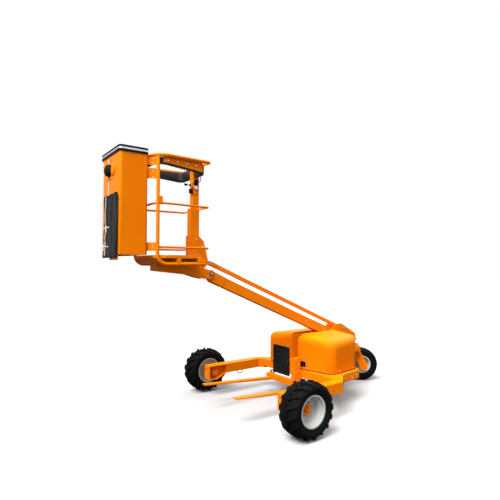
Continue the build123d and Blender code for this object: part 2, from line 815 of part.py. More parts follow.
with BuildPart() as boom_head:
    for face in (boom_half, -boom_half - knuckle_plate):
        with BuildSketch(boom_plane.offset(face)):
            with Locations((boom_length, 0)):
                Circle(head_radius)
            with Locations(((head_start + boom_box_end) / 2, -boom_drop)):
                Rectangle(boom_box_end - head_start, boom_depth)
            make_hull()
        extrude(amount=knuckle_plate)
    with BuildSketch(boom_plane):
        with Locations((boom_length, 0)):
            Circle(head_pin_radius)
    extrude(amount=cage_plate_inner + cage_plate + 8, both=True)
boom_head.part.label = "boom_head"
export_step(boom_head.part, "parts/boom_head.step")

# Level link over the boom, from the tower's upper pin to the cage's upper pin
link_plane = Plane(origin=(pivot_x, 0, link_pin_z), x_dir=(boom_ahead[0], 0, boom_ahead[1]),
                   z_dir=(0, -1, 0))
link_half = link_width / 2
link_boss_half = slot_half - side_gap
link_bar = boom_length - link_fork_length / 2
with BuildPart() as level_link:
    with BuildSketch(link_plane):
        with Locations((link_bar / 2, 0)):
            Rectangle(link_bar, link_height)
        Circle(link_eye_radius)
    extrude(amount=link_half, both=True)
    with BuildSketch(link_plane):
        Circle(link_eye_radius)
    extrude(amount=link_boss_half, both=True)
    for cheek in (link_fork_half, -link_fork_half - link_fork_cheek):
        with BuildSketch(link_plane.offset(cheek)):
            with Locations((boom_length - link_fork_length / 2, 0)):
                Rectangle(link_fork_length, link_height)
            with Locations((boom_length, 0)):
                Circle(link_eye_radius)
        extrude(amount=link_fork_cheek)
    with BuildSketch(link_plane):
        Circle(link_pin_radius + pin_clearance)
        with Locations((boom_length, 0)):
            Circle(link_pin_radius + open_pin_clearance)
    extrude(amount=link_boss_half + 1, both=True, mode=Mode.SUBTRACT)
level_link.part.label = "level_link"
export_step(level_link.part, "parts/level_link.step")

# Lift cylinder between the tower plates
lift_eye_x = pivot_x + lift_eye_s * boom_ahead[0] - lift_eye_t * boom_ahead[1]
lift_eye_z = pivot_z + lift_eye_s * boom_ahead[1] + lift_eye_t * boom_ahead[0]
lift_length = ((lift_eye_x - lift_base_x) ** 2 + (lift_eye_z - lift_base_z) ** 2) ** 0.5
lift_ahead = ((lift_eye_x - lift_base_x) / lift_length, (lift_eye_z - lift_base_z) / lift_length)
lift_plane = Plane(origin=(lift_base_x, 0, lift_base_z),
                   x_dir=(lift_ahead[0], 0, lift_ahead[1]), z_dir=(0, -1, 0))
lift_axis = Axis((lift_base_x, 0, lift_base_z), (lift_ahead[0], 0, lift_ahead[1]))
with BuildPart() as lift_barrel:
    with BuildSketch(lift_plane):
        with BuildLine():
            Polyline((barrel_back, 0), (barrel_end, 0), (barrel_end, barrel_radius),
                     (barrel_back, barrel_radius), close=True)
        make_face()
    revolve(axis=lift_axis)
    with BuildSketch(lift_plane):
        Circle(lift_eye_radius)
        with Locations((lift_eye_radius, 0)):
            Rectangle(2 * lift_eye_radius, 2 * lift_eye_radius)
    extrude(amount=lift_eye_half, both=True)
    with BuildSketch(lift_plane):
        Circle(lift_pin_radius + pin_clearance)
    extrude(amount=lift_eye_half + 1, both=True, mode=Mode.SUBTRACT)
    with BuildSketch(lift_plane):
        with BuildLine():
            Polyline((barrel_back + 32, 0), (barrel_end + 1, 0),
                     (barrel_end + 1, rod_radius + pin_clearance),
                     (barrel_end - 30, rod_radius + pin_clearance),
                     (barrel_end - 30, barrel_bore),
                     (barrel_back + 32, barrel_bore), close=True)
        make_face()
    revolve(axis=lift_axis, mode=Mode.SUBTRACT)
lift_barrel.part.label = "lift_barrel"
export_step(lift_barrel.part, "parts/lift_barrel.step")

with BuildPart() as lift_rod:
    with BuildSketch(lift_plane):
        with BuildLine():
            Polyline((lift_length - rod_length, 0), (lift_length - lift_eye_radius + 4, 0),
                     (lift_length - lift_eye_radius + 4, rod_radius),
                     (lift_length - rod_length, rod_radius), close=True)
        make_face()
    revolve(axis=lift_axis)
    with BuildSketch(lift_plane):
        with Locations((lift_length, 0)):
            Circle(lift_eye_radius)
    extrude(amount=lift_eye_half, both=True)
    with BuildSketch(lift_plane):
        with Locations((lift_length, 0)):
            Circle(lift_pin_radius + pin_clearance)
    extrude(amount=lift_eye_half + 1, both=True, mode=Mode.SUBTRACT)
lift_rod.part.label = "lift_rod"
export_step(lift_rod.part, "parts/lift_rod.step")

# Cage: two base plates carry the mast and the floor
head_x = pivot_x + boom_length * boom_ahead[0]
head_z = pivot_z + boom_length * boom_ahead[1]
cage_place = Location((head_x - drawn_pin_x, 0, head_z - drawn_pin_z))


def save_on_boom(piece, name):
    """Moves a piece of the cage to the boom's head pin and writes it."""
    placed = piece.moved(cage_place)
    placed.label = name
    export_step(placed, f"parts/{name}.step")


link_lug_z = drawn_pin_z + link_offset
floor_low = floor_top - floor_thickness - floor_edge
mast_low_front = mast_rear_x + mast_low_depth
base_low = [(1040, 1594), (1120, 1612), (1229, 1649), (base_front_x, 1694)]
base_outline = [
    *base_low,
    (base_front_x, floor_low),
    (floor_rear_x, floor_low),
    (mast_low_front, 1905),
    (mast_low_front, 2080),
    (1120, 2076),
    (1062, 2022),
    (1030, 1922),
    (1003, 1798),
    (1003, 1762),
    (1050, 1716),
    (drawn_pin_x + 32, drawn_pin_z + 46),
    (drawn_pin_x - 20, drawn_pin_z + 40),
    (drawn_pin_x - 44, drawn_pin_z),
    (drawn_pin_x - 24, drawn_pin_z - 44),
]
base_holes = [(drawn_pin_x, drawn_pin_z, head_pin_radius + pin_clearance)]
base_outer = cage_plate_inner + cage_plate
web_x = 1062
with BuildPart() as cage_base:
    add(slab(base_outline, cage_plate_inner, base_outer, base_holes))
    add(slab(base_outline, -base_outer, -cage_plate_inner, base_holes))
    low_plate = [(x, z) for x, z in base_low[1:]] + [(x, z + 10) for x, z in base_low[:0:-1]]
    add(slab(low_plate, -cage_plate_inner, cage_plate_inner))
    add(slab([(web_x, 1600), (web_x + 10, 1602), (web_x + 10, 1990), (web_x, 1984)],
             -cage_plate_inner, cage_plate_inner))
    add(slab([(base_front_x - 10, base_low[-1][1]), base_low[-1], (base_front_x, floor_low),
              (base_front_x - 10, floor_low)], -cage_plate_inner, cage_plate_inner))
    with BuildSketch(upright(0)):
        with Locations((drawn_pin_x, link_lug_z)):
            Circle(2 * link_pin_radius)
        with Locations((web_x + 2, link_lug_z)):
            Rectangle(4, 90)
        make_hull()
    extrude(amount=link_lug_half, both=True)
    lug_pin_half = link_fork_half + link_fork_cheek + 6
    add(rod_between(drawn_pin_x, link_lug_z, -lug_pin_half, lug_pin_half, link_pin_radius))
save_on_boom(cage_base.part, "cage_base")

with BuildPart() as mast:
    with BuildSketch(Plane.XY.offset(mast_foot_z)):
        with Locations((mast_rear_x + mast_low_depth / 2, 0)):
            Rectangle(mast_low_depth, 2 * mast_low_half)
    extrude(amount=mast_step_z - mast_foot_z)
    with BuildSketch(Plane.XY.offset(mast_step_z)):
        with Locations((mast_rear_x + mast_top_depth / 2, 0)):
            Rectangle(mast_top_depth, 2 * mast_top_half)
    extrude(amount=ring_z - ring_tube - mast_step_z)
    for side in (-1, 1):
        low, high = sorted((side * mast_low_half, side * cage_plate_inner))
        add(slab([(mast_rear_x + 10, 1720), (mast_low_front - 10, 1720),
                  (mast_low_front - 10, 2060), (mast_rear_x + 10, 2060)], low, high))
save_on_boom(mast.part, "mast")


# Rings and rails: one tapered loop in plan, drawn at several heights and insets
def cage_plan(inset, rear_inset):
    """The ring's line as a face on the ground, drawn in by an inset."""
    front_x = ring_front_x - inset
    rear_x = ring_rear_x + rear_inset
    front_half = ring_front_half - inset
    rear_half = ring_rear_half - inset
    with BuildSketch() as plan:
        with BuildLine():
            Polyline((front_x, front_half), (rear_x, rear_half), (rear_x, -rear_half),
                     (front_x, -front_half), close=True)
        outline = make_face()
        middle_x = (front_x + rear_x) / 2
        front_corners = [v for v in outline.vertices() if v.X > middle_x]
        rear_corners = [v for v in outline.vertices() if v.X < middle_x]
        fillet(front_corners, ring_front_corner - inset)
        fillet(rear_corners, ring_rear_corner - inset)
    return plan.sketch


def loop(z, inset, radius):
    """Tube round the cage at a height, drawn inside the top ring's line by an inset."""
    with BuildSketch() as half_plan:
        add(cage_plan(inset, 0))
        with Locations((ring_front_x, ring_front_half)):
            Rectangle(2 * ring_front_x, 2 * ring_front_half, mode=Mode.INTERSECT)
    half_line = Wire([e for e in half_plan.sketch.edges() if e.center().Y > 1])
    line = half_line.moved(Location((0, 0, z)))
    with BuildPart() as tube:
        with BuildSketch(Plane(origin=line @ 0, z_dir=line % 0)):
            Circle(radius)
        sweep(path=line)
        mirror(about=Plane.XZ)
    return tube.part


post_x = ring_front_x - post_inset
post_y = ring_front_half - post_inset

save_on_boom(loop(ring_z, 0, ring_tube), "top_ring")

# Columns: name, height, half width of what carries its ends at the back.
rails = [
    ("mid_rail", mid_rail_z, mast_low_half),
    ("low_rail", low_rail_z, base_outer),
]
for name, z, carrier_half in rails:
    with BuildPart() as rail:
        add(loop(z, rail_inset, rail_tube))
        with BuildSketch(Plane.XY.offset(z - 2 * rail_tube)):
            with Locations((ring_rear_x, 0)):
                Rectangle(4 * rail_tube, 2 * carrier_half)
        extrude(amount=4 * rail_tube, mode=Mode.SUBTRACT)
    save_on_boom(rail.part, name)

# Front posts: each runs down from the ring, bends under the floor and runs back
for name, side in (("left_post", 1), ("right_post", -1)):
    with BuildPart() as post_part:
        with BuildLine(upright(side * post_y)) as path:
            FilletPolyline((post_x, ring_z - ring_tube), (post_x, post_foot_z),
                           (post_run_x, post_foot_z), radius=post_bend)
        with BuildSketch(Plane(origin=path.line @ 0, z_dir=path.line % 0)):
            Circle(post_tube)
        sweep()
    save_on_boom(post_part.part, name)

# Floor: a shallow tray with turned-down edges on bearers, with a curved apron in front
bend_x = post_x - post_bend
bend_z = post_foot_z + post_bend
with BuildPart() as cage_floor:
    with BuildSketch(Plane.XY.offset(floor_low)):
        add(cage_plan(floor_inset, 0))
        with Locations((floor_rear_x - 200, 0)):
            Rectangle(400, 2 * ring_front_half, mode=Mode.SUBTRACT)
        with Locations((post_x - post_lean / 2, post_y), (post_x - post_lean / 2, -post_y)):
            SlotOverall(2 * post_tube + post_lean, 2 * post_tube, mode=Mode.SUBTRACT)
    extrude(amount=floor_top - floor_low)
    with BuildSketch(Plane.XY.offset(floor_low)):
        add(cage_plan(floor_inset + floor_wall, 0))
        with Locations((floor_rear_x + floor_wall - 200, 0)):
            Rectangle(400, 2 * ring_front_half, mode=Mode.SUBTRACT)
        with Locations(((floor_rear_x + base_front_x) / 2, 0)):
            Rectangle(base_front_x - floor_rear_x, 2 * base_outer + 20, mode=Mode.SUBTRACT)
        boss = post_tube + floor_wall
        with Locations((post_x - post_lean / 2, post_y), (post_x - post_lean / 2, -post_y)):
            SlotOverall(2 * boss + post_lean, 2 * boss, mode=Mode.SUBTRACT)
    extrude(amount=floor_edge, mode=Mode.SUBTRACT)
    bearer_end = post_y + post_tube - 2
    with BuildSketch(Plane.XY.offset(post_foot_z + post_tube)):
        for middle_x, width in bearers:
            for side in (-1, 1):
                with Locations((middle_x, side * (base_outer + bearer_end) / 2)):
                    Rectangle(width, bearer_end - base_outer)
    extrude(amount=floor_low - post_foot_z - post_tube)
    with BuildSketch(upright(0)):
        with Locations((bend_x, bend_z)):
            Circle(post_bend + apron_thickness / 2)
            Circle(post_bend - apron_thickness / 2, mode=Mode.SUBTRACT)
        with Locations((base_front_x + 100, floor_top - 101)):
            Rectangle(200, 200, mode=Mode.INTERSECT)
    extrude(amount=post_y - post_tube, both=True)
save_on_boom(cage_floor.part, "cage_floor")


# Pad inside the top ring, and the band plates that hold it
def sloped(x_low, x_high, rise):
    """Block as wide as the cage whose underside rises towards the front."""
    run = ring_front_x - ring_rear_x
    slope = (pad_low_z[1] - pad_low_z[0]) / run
    foot = [pad_low_z[0] + rise + (x - ring_rear_x) * slope for x in (x_low, x_high)]
    return slab([(x_low, foot[0]), (x_high, foot[1]), (x_high, ring_z), (x_low, ring_z)],
                -ring_front_half, ring_front_half)


with BuildPart() as ring_band:
    with BuildSketch(Plane.XY.offset(pad_low_z[0])):
        add(cage_plan(band_inset, ring_tube))
        add(cage_plan(band_inset + band_thickness, ring_tube), mode=Mode.SUBTRACT)
    extrude(amount=ring_z - pad_low_z[0])
    add(sloped(*band_x, band_rise), mode=Mode.INTERSECT)
save_on_boom(ring_band.part, "ring_band")

pad_inset = band_inset + band_thickness + seat_gap
with BuildPart() as ring_pad:
    with BuildSketch(Plane.XY.offset(pad_low_z[0])):
        add(cage_plan(pad_inset, pad_inset))
        add(cage_plan(pad_inset + pad_thickness, pad_inset + pad_thickness), mode=Mode.SUBTRACT)
        with Locations((post_x, post_y), (post_x, -post_y)):
            Circle(post_tube + seat_gap, mode=Mode.SUBTRACT)
        with Locations((mast_rear_x + mast_top_depth / 2, 0)):
            Rectangle(mast_top_depth + 2 * seat_gap, 2 * mast_top_half + 2 * seat_gap,
                      mode=Mode.SUBTRACT)
    extrude(amount=pad_top_z - pad_low_z[0])
    add(sloped(ring_rear_x, ring_front_x, 0), mode=Mode.INTERSECT)
save_on_boom(ring_pad.part, "ring_pad")

# Controls: a plate on the mast's left side with a switch box and a dial, and a lever in front
mast_side = mast_top_half
mast_front = mast_rear_x + mast_top_depth
with BuildPart() as control_box:
    plate_x = (mast_rear_x + 8, mast_front)
    add(slab([(plate_x[0], console_z[0]), (plate_x[1], console_z[0]),
              (plate_x[1], console_z[1]), (plate_x[0], console_z[1])],
             mast_side, mast_side + console_thickness))
    with Locations((plate_x[0] + switch_box[0] / 2 + 8,
                    mast_side + console_thickness + switch_box[1] / 2,
                    console_z[1] - switch_box[2] / 2)):
        Box(*switch_box)
    add(rod_between(plate_x[0] + 26, console_z[1] - switch_box[2] - dial_radius - 6,
                    mast_side + console_thickness, mast_side + console_thickness + 22,
                    dial_radius))
    add(slab([(mast_front, lever_z - 24), (mast_front + 18, lever_z - 10),
              (mast_front + 18, lever_z + 10), (mast_front, lever_z + 24)],
             0, mast_side + console_thickness))
    with BuildSketch(Plane.YZ.offset(mast_front + 18)):
        with Locations((12, lever_z)):
            Circle(6)
    extrude(amount=lever_reach)
    with Locations((mast_front + 18 + lever_reach, 12, lever_z)):
        Sphere(13)
save_on_boom(control_box.part, "control_box")

# Fruit bin: a tall open sheet box with a trim rim and a soft flap down its front
bin_middle = (sum(bin_x) / 2, 0)
bin_depth = bin_x[1] - bin_x[0]
with BuildPart() as bin_shell:
    with BuildSketch(Plane.XY.offset(bin_z[0])):
        with Locations(bin_middle):
            RectangleRounded(bin_depth, 2 * bin_half, bin_corner)
    extrude(amount=bin_z[1] - bin_z[0])
    with BuildSketch(Plane.XY.offset(bin_z[0] + bin_wall)):
        with Locations(bin_middle):
            RectangleRounded(bin_depth - 2 * bin_wall, 2 * bin_half - 2 * bin_wall,
                             bin_corner - bin_wall)
    extrude(amount=bin_z[1] - bin_z[0], mode=Mode.SUBTRACT)
save_on_boom(bin_shell.part, "bin_shell")

# Rim: three trim bands one over the other, with a groove between them
band_height = (rim_height - (rim_bands - 1) * rim_groove) / rim_bands
with BuildPart() as bin_rim:
    for number in range(2 * rim_bands - 1):
        is_band = number % 2 == 0
        overhang = rim_overhang if is_band else rim_overhang - rim_groove
        foot = bin_z[1] + (number // 2) * (band_height + rim_groove) + (not is_band) * band_height
        with BuildSketch(Plane.XY.offset(foot)):
            with Locations(bin_middle):
                RectangleRounded(bin_depth + 2 * overhang, 2 * (bin_half + overhang),
                                 bin_corner + overhang)
                RectangleRounded(bin_depth - 2 * bin_wall, 2 * bin_half - 2 * bin_wall,
                                 bin_corner - bin_wall, mode=Mode.SUBTRACT)
        extrude(amount=band_height if is_band else rim_groove)
save_on_boom(bin_rim.part, "bin_rim")

# Chute of folded canvas down the front of the bin
with BuildPart() as bin_flap:
    with BuildSketch(Plane.XY.offset(flap_z[0])):
        for middle_y, width, depth in flap_folds:
            with Locations((bin_x[1] + seat_gap + depth / 2, middle_y)):
                RectangleRounded(depth, width, 0.45 * depth)
    extrude(amount=flap_z[1] - flap_z[0])
save_on_boom(bin_flap.part, "bin_flap")

# Bin brackets: steel strips from the front posts to the bin's back
with BuildPart() as bin_brackets:
    for side in (-1, 1):
        for strip_low, strip_high in bracket_heights:
            with BuildSketch(Plane.XY.offset(strip_low)):
                with BuildLine():
                    Line((post_x, side * post_y), (bin_x[0] + 20, side * (bracket_bin_y - 30)))
                trace(line_width=bracket_strip)
                with Locations((post_x, side * post_y)):
                    Circle(post_tube, mode=Mode.SUBTRACT)
                with Locations((bin_x[0] + 50, 0)):
                    Rectangle(100, 2 * bin_half, mode=Mode.SUBTRACT)
            extrude(amount=strip_high - strip_low)
save_on_boom(bin_brackets.part, "bin_brackets")
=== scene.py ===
"""Looks of the orchard work platform: finishes, tyres, padding, straps and fasteners.

Metres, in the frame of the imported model: +X forward, +Y the machine's left, +Z up.
"""
import json
from math import cos, pi, radians, sin, sqrt, tan

import bmesh
import bpy
from mathutils import Matrix, Vector


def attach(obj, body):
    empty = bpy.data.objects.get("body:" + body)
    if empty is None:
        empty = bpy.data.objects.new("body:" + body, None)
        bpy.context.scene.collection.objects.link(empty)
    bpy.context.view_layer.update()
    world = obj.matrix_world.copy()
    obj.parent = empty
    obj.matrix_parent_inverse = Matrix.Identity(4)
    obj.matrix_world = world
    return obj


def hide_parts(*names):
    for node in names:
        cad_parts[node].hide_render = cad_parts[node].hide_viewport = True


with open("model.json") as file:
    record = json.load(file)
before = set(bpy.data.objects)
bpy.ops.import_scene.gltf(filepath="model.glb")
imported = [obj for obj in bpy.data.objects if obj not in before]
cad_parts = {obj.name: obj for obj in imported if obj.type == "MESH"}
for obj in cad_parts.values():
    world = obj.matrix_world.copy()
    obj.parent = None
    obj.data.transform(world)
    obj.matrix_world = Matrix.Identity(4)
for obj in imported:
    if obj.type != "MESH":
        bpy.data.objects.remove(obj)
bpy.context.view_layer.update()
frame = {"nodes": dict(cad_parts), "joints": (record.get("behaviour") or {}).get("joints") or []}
node = frame["nodes"]
place_of = {joint["name"]: Vector(joint["pos_m"]) for joint in frame["joints"] if "pos_m" in joint}
axis_of = {joint["name"]: Vector(joint["axis"]) for joint in frame["joints"]}

FORWARD = Vector((1, 0, 0))
LEFT = Vector((0, 1, 0))
UP = Vector((0, 0, 1))
SIDES = (-1, 1)

# Camera, found from the wheels, the bin's corners and the fork tips
CAMERA_PLACE = (3.378, 4.179, 1.743)
CAMERA_TURN = pi - 0.625
CAMERA_PITCH = 0.038
CAMERA_LENS = 30.1
CAMERA_SENSOR = 36.0

# Light
AMBIENT = 0.20
FLOOR_REACH = 60.0
FLOOR_SHOWN = 0.58
FLOOR_FELT = 0.08
# Columns: name, direction towards the lamp, strength, how wide it looks in degrees
LAMPS = [
    ("key from above", (0.62, 0.20, 0.90), 6.2, 45),
    ("fill from ahead", (0.7, 0.7, 0.40), 1.0, 80),
    ("fill from the left", (0.0, 1.0, 0.30), 0.5, 80),
    ("fill from behind", (-0.55, -0.10, 0.60), 1.6, 60),
]

# Edges sharper than this many degrees are kept crisp or rounded
SHARP = 35
NODE_ROUNDING = 0.0015
NODE_WELD = 0.00002


# Materials
def add_node(tree, kind, values=None, **settings):
    """New node, with its own settings and the values of its sockets."""
    made = tree.nodes.new(kind)
    for key, value in settings.items():
        setattr(made, key, value)
    for socket, value in (values or {}).items():
        made.inputs[socket].default_value = value
    return made


class Finish:
    """One procedural material while its nodes are being laid out."""

    def __init__(self, name):
        self.material = bpy.data.materials.new(name)
        self.material.use_nodes = True
        self.tree = self.material.node_tree
        self.shader = self.tree.nodes["Principled BSDF"]
        self.coords = self.add("ShaderNodeTexCoord").outputs["Object"]

    def add(self, kind, values=None, **settings):
        return add_node(self.tree, kind, values, **settings)

    def link(self, source, target):
        self.tree.links.new(source, target)

    def fixed(self, **values):
        for key, value in values.items():
            self.shader.inputs[key.replace("_", " ")].default_value = value

    def noise(self, scale, detail=3.0, roughness=0.55):
        made = self.add("ShaderNodeTexNoise",
                        {"Scale": scale, "Detail": detail, "Roughness": roughness})
        self.link(self.coords, made.inputs["Vector"])
        return made.outputs["Fac"]

    def spread(self, source, low, high, start=0.3, end=0.7):
        """Stretches the part of a value from start to end between low and high."""
        made = self.add("ShaderNodeMapRange", {"From Min": start, "From Max": end, "To Min": low,
                                               "To Max": high})
        self.link(source, made.inputs["Value"])
        return made.outputs["Result"]

    def cloud(self, scale, detail, low=0, high=1):
        """Cloudy value between low and high."""
        return self.spread(self.noise(scale, detail), low, high)

    def put(self, value, target):
        """Links a socket, or sets a number or a colour."""
        if isinstance(value, bpy.types.NodeSocket):
            self.link(value, target)
        else:
            target.default_value = (*value, 1) if isinstance(value, tuple) else value

    def maths(self, operation, first, second):
        made = self.add("ShaderNodeMath", operation=operation)
        self.put(first, made.inputs[0])
        self.put(second, made.inputs[1])
        return made.outputs["Value"]

    def mix(self, factor, first, second):
        """Colour between two colours; each is a tuple or a socket."""
        made = self.add("ShaderNodeMix", data_type="RGBA")
        self.put(first, made.inputs[6])
        self.put(second, made.inputs[7])
        self.link(factor, made.inputs[0])
        return made.outputs[2]

    def colour(self, source):
        self.link(source, self.shader.inputs["Base Color"])

    def roughness(self, source):
        self.link(source, self.shader.inputs["Roughness"])

    def bump(self, height, strength, distance):
        made = self.add("ShaderNodeBump", {"Strength": strength, "Distance": distance})
        self.link(height, made.inputs["Height"])
        self.link(made.outputs["Normal"], self.shader.inputs["Normal"])

    def facing_up(self):
        """1 on faces that look up, 0 on the others."""
        geometry = self.add("ShaderNodeNewGeometry")
        parts = self.add("ShaderNodeSeparateXYZ")
        self.link(geometry.outputs["Normal"], parts.inputs["Vector"])
        return self.spread(parts.outputs["Z"], 0, 1, 0.5, 1.0)

    def edge(self, radius):
        """Near 1 along outer and inner edges."""
        bevel = self.add("ShaderNodeBevel", {"Radius": radius}, samples=4)
        geometry = self.add("ShaderNodeNewGeometry")
        dot = self.add("ShaderNodeVectorMath", operation="DOT_PRODUCT")
        self.link(bevel.outputs["Normal"], dot.inputs[0])
        self.link(geometry.outputs["Normal"], dot.inputs[1])
        return self.spread(dot.outputs["Value"], 1, 0, 0.75, 0.98)


def sprayed_paint(name, main, second, overlay_tint, wear, dust_and_top_light_share=0.10):
    """Paint on sheet steel: cloudy colour, orange peel, tops tinted towards a third colour (dust
    on the rim, black and cast paints, painted top light on the orange ones), thin worn edges.
    """
    finish = Finish(name)
    base = finish.mix(finish.cloud(2.2, 4), main, second)
    # Faces that look up take the third colour: dust on the rim, black and cast paints, and a
    # painted top light of lighter yellow on the orange paint and the shell
    patchy = finish.cloud(9, 6, 0.4 * dust_and_top_light_share, dust_and_top_light_share)
    top = finish.maths("MULTIPLY", finish.facing_up(), patchy)
    base = finish.mix(top, base, overlay_tint)
    grit = finish.spread(finish.noise(55, 5, 0.7), 0, 1, 0.56, 0.66)
    rubbed = finish.maths("MULTIPLY", finish.edge(0.004), finish.maths("MULTIPLY", grit, 0.55))
    finish.colour(finish.mix(rubbed, base, wear))
    finish.roughness(finish.cloud(14, 5, 0.30, 0.44))
    finish.bump(finish.noise(420, 2), 0.05, 0.0006)
    finish.fixed(Specular_IOR_Level=0.03)
    return finish.material


def moulded_rubber(name, main, overlay_tint, share=0.35, grain=900.0, gloss=0.06):
    """Tyre and seal rubber, and the dark sheets laid in as painted shade: matt and finely grained,
    with patches of dust.
    """
    finish = Finish(name)
    patch = finish.spread(finish.noise(7, 6, 0.65), 0, share)
    finish.colour(finish.mix(patch, main, overlay_tint))
    finish.roughness(finish.cloud(25, 4, 0.58, 0.82))
    finish.bump(finish.noise(grain, 2), 0.22, 0.0008)
    finish.fixed(Specular_IOR_Level=gloss)
    return finish.material


def plated_steel(name, colour, rough_low, rough_high):
    """Zinc: brushed slightly, with a cloudy sheen."""
    finish = Finish(name)
    darker = tuple(0.72 * part for part in colour)
    finish.colour(finish.mix(finish.cloud(60, 4), colour, darker))
    finish.roughness(finish.cloud(130, 3, rough_low, rough_high))
    finish.bump(finish.noise(700, 2), 0.06, 0.0004)
    finish.fixed(Metallic=1.0)
    return finish.material


def grained_vinyl(name, main, second):
    """Stretched vinyl over foam, with a leather grain."""
    finish = Finish(name)
    cells = finish.add("ShaderNodeTexVoronoi", {"Scale": 420}, feature="DISTANCE_TO_EDGE")
    finish.link(finish.coords, cells.inputs["Vector"])
    finish.colour(finish.mix(finish.cloud(12, 5), main, second))
    finish.roughness(finish.cloud(30, 4, 0.42, 0.62))
    finish.bump(finish.spread(cells.outputs["Distance"], 0, 1, 0.0, 0.25), 0.25, 0.0006)
    finish.fixed(Specular_IOR_Level=0.28)
    return finish.material


def woven(name, main, second, threads, relief):
    """Plain weave, from two crossing waves."""
    finish = Finish(name)
    waves = []
    for direction in ("Z", "Y"):
        wave = finish.add("ShaderNodeTexWave", {"Scale": threads, "Distortion": 0.6},
                          bands_direction=direction)
        finish.link(finish.coords, wave.inputs["Vector"])
        waves.append(wave.outputs["Fac"])
    weave = finish.maths("MULTIPLY", *waves)
    finish.colour(finish.mix(finish.cloud(16, 5), main, second))
    finish.roughness(finish.spread(weave, 0.72, 0.9, 0, 1))
    finish.bump(weave, 0.35, relief)
    finish.fixed(Specular_IOR_Level=0.20, Sheen_Weight=0.02)
    return finish.material


def tread_plate(name, main, second):
    """Worn grey deck with raised tears in two directions."""
    finish = Finish(name)
    ribs = []
    for angle in (45, -45):
        turned = finish.add("ShaderNodeMapping",
                            {"Rotation": (0, 0, radians(angle)), "Scale": (22, 60, 1)})
        finish.link(finish.coords, turned.inputs["Vector"])
        cell = finish.add("ShaderNodeTexVoronoi", {"Scale": 1, "Randomness": 0})
        finish.link(turned.outputs["Vector"], cell.inputs["Vector"])
        ribs.append(finish.spread(cell.outputs["Distance"], 1, 0, 0.15, 0.35))
    relief = finish.maths("MAXIMUM", *ribs)
    finish.colour(finish.mix(finish.cloud(20, 6), main, second))
    finish.roughness(finish.cloud(40, 4, 0.45, 0.7))
    finish.bump(relief, 0.6, 0.0015)
    finish.fixed(Metallic=0.6)
    return finish.material


# The third colour of the orange paint and the shell is a lighter yellow laid on faces that look
# up: painted top light, at a share of 0.35 and 0.50
ORANGE = sprayed_paint("orange paint", (0.90, 0.215, 0.001), (0.84, 0.19, 0.001),
                       (0.88, 0.38, 0.003), (0.36, 0.24, 0.16), 0.35)
SHELL = sprayed_paint("orange shell", (0.80, 0.18, 0.001), (0.75, 0.162, 0.001),
                      (0.90, 0.42, 0.003), (0.80, 0.24, 0.01), 0.50)
RUBBER = moulded_rubber("tyre rubber", (0.0028, 0.0028, 0.003), (0.01, 0.0095, 0.009))
SEAL = moulded_rubber("seal rubber", (0.008, 0.008, 0.008), (0.02, 0.02, 0.02), 0.5, 500)
# Dark sheet with no sheen, laid under the floor and under the bin's foot as painted shade
PAINTED_SHADE = moulded_rubber("painted shade", (0.006, 0.005, 0.004), (0.02, 0.013, 0.007), 0.5, 500, 0)
RIM = sprayed_paint("rim paint", (0.52, 0.54, 0.52), (0.44, 0.46, 0.44), (0.40, 0.37, 0.33),
                    (0.28, 0.26, 0.24))
ZINC = plated_steel("zinc plate", (0.55, 0.57, 0.60), 0.28, 0.45)
BLACK = sprayed_paint("black paint", (0.01, 0.01, 0.011), (0.016, 0.016, 0.017),
                      (0.05, 0.045, 0.04), (0.12, 0.11, 0.10))
CAST = sprayed_paint("cast housing", (0.09, 0.09, 0.095), (0.06, 0.06, 0.065),
                     (0.16, 0.14, 0.12), (0.25, 0.24, 0.23))
VINYL = grained_vinyl("black vinyl", (0.008, 0.008, 0.009), (0.014, 0.014, 0.015))
CANVAS = woven("black canvas", (0.006, 0.006, 0.0065), (0.012, 0.012, 0.013), 260, 0.0005)
WEBBING = woven("pale webbing", (0.62, 0.60, 0.52), (0.50, 0.49, 0.43), 420, 0.0006)
DECK = tread_plate("deck plate", (0.22, 0.225, 0.23), (0.15, 0.15, 0.155))

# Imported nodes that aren't plain orange
finish_by_node = {
    "tower_pins": ZINC, "lift_rod": ZINC, "grille": BLACK, "control_box": BLACK,
    "engine_block": CAST, "ring_pad": VINYL, "bin_flap": CANVAS, "bin_rim": SEAL,
    "left_hood": SHELL, "right_hood": SHELL,
}
for name in ("front_left", "front_right", "rear"):
    finish_by_node[f"{name}_tyre"] = RUBBER
    finish_by_node[f"{name}_rim"] = RIM


def soften(made, width, angle=SHARP):
    """Rounds the edges that are sharper than an angle."""
    rounding = made.modifiers.new("soft edges", "BEVEL")
    rounding.width = width
    rounding.segments = 2
    rounding.limit_method = "ANGLE"
    rounding.angle_limit = radians(angle)


def dress_nodes():
    """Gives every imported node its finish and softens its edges."""
    for name, made in node.items():
        made.data.materials.clear()
        made.data.materials.append(finish_by_node.get(name, ORANGE))
        weld = made.modifiers.new("weld", "WELD")
        weld.merge_threshold = NODE_WELD
        soften(made, NODE_ROUNDING)


def in_scene(name, data):
    """New object in the scene."""
    made = bpy.data.objects.new(name, data)
    bpy.context.scene.collection.objects.link(made)
    return made


def two_looks(tree, kind, looks, share, output):
    """Two shaders of one kind, mixed by a share, as the tree's output."""
    mix = add_node(tree, "ShaderNodeMixShader")
    for number, values in enumerate(looks, 1):
        tree.links.new(add_node(tree, kind, values).outputs[0], mix.inputs[number])
    tree.links.new(share, mix.inputs[0])
    tree.links.new(mix.outputs[0], add_node(tree, output).inputs["Surface"])


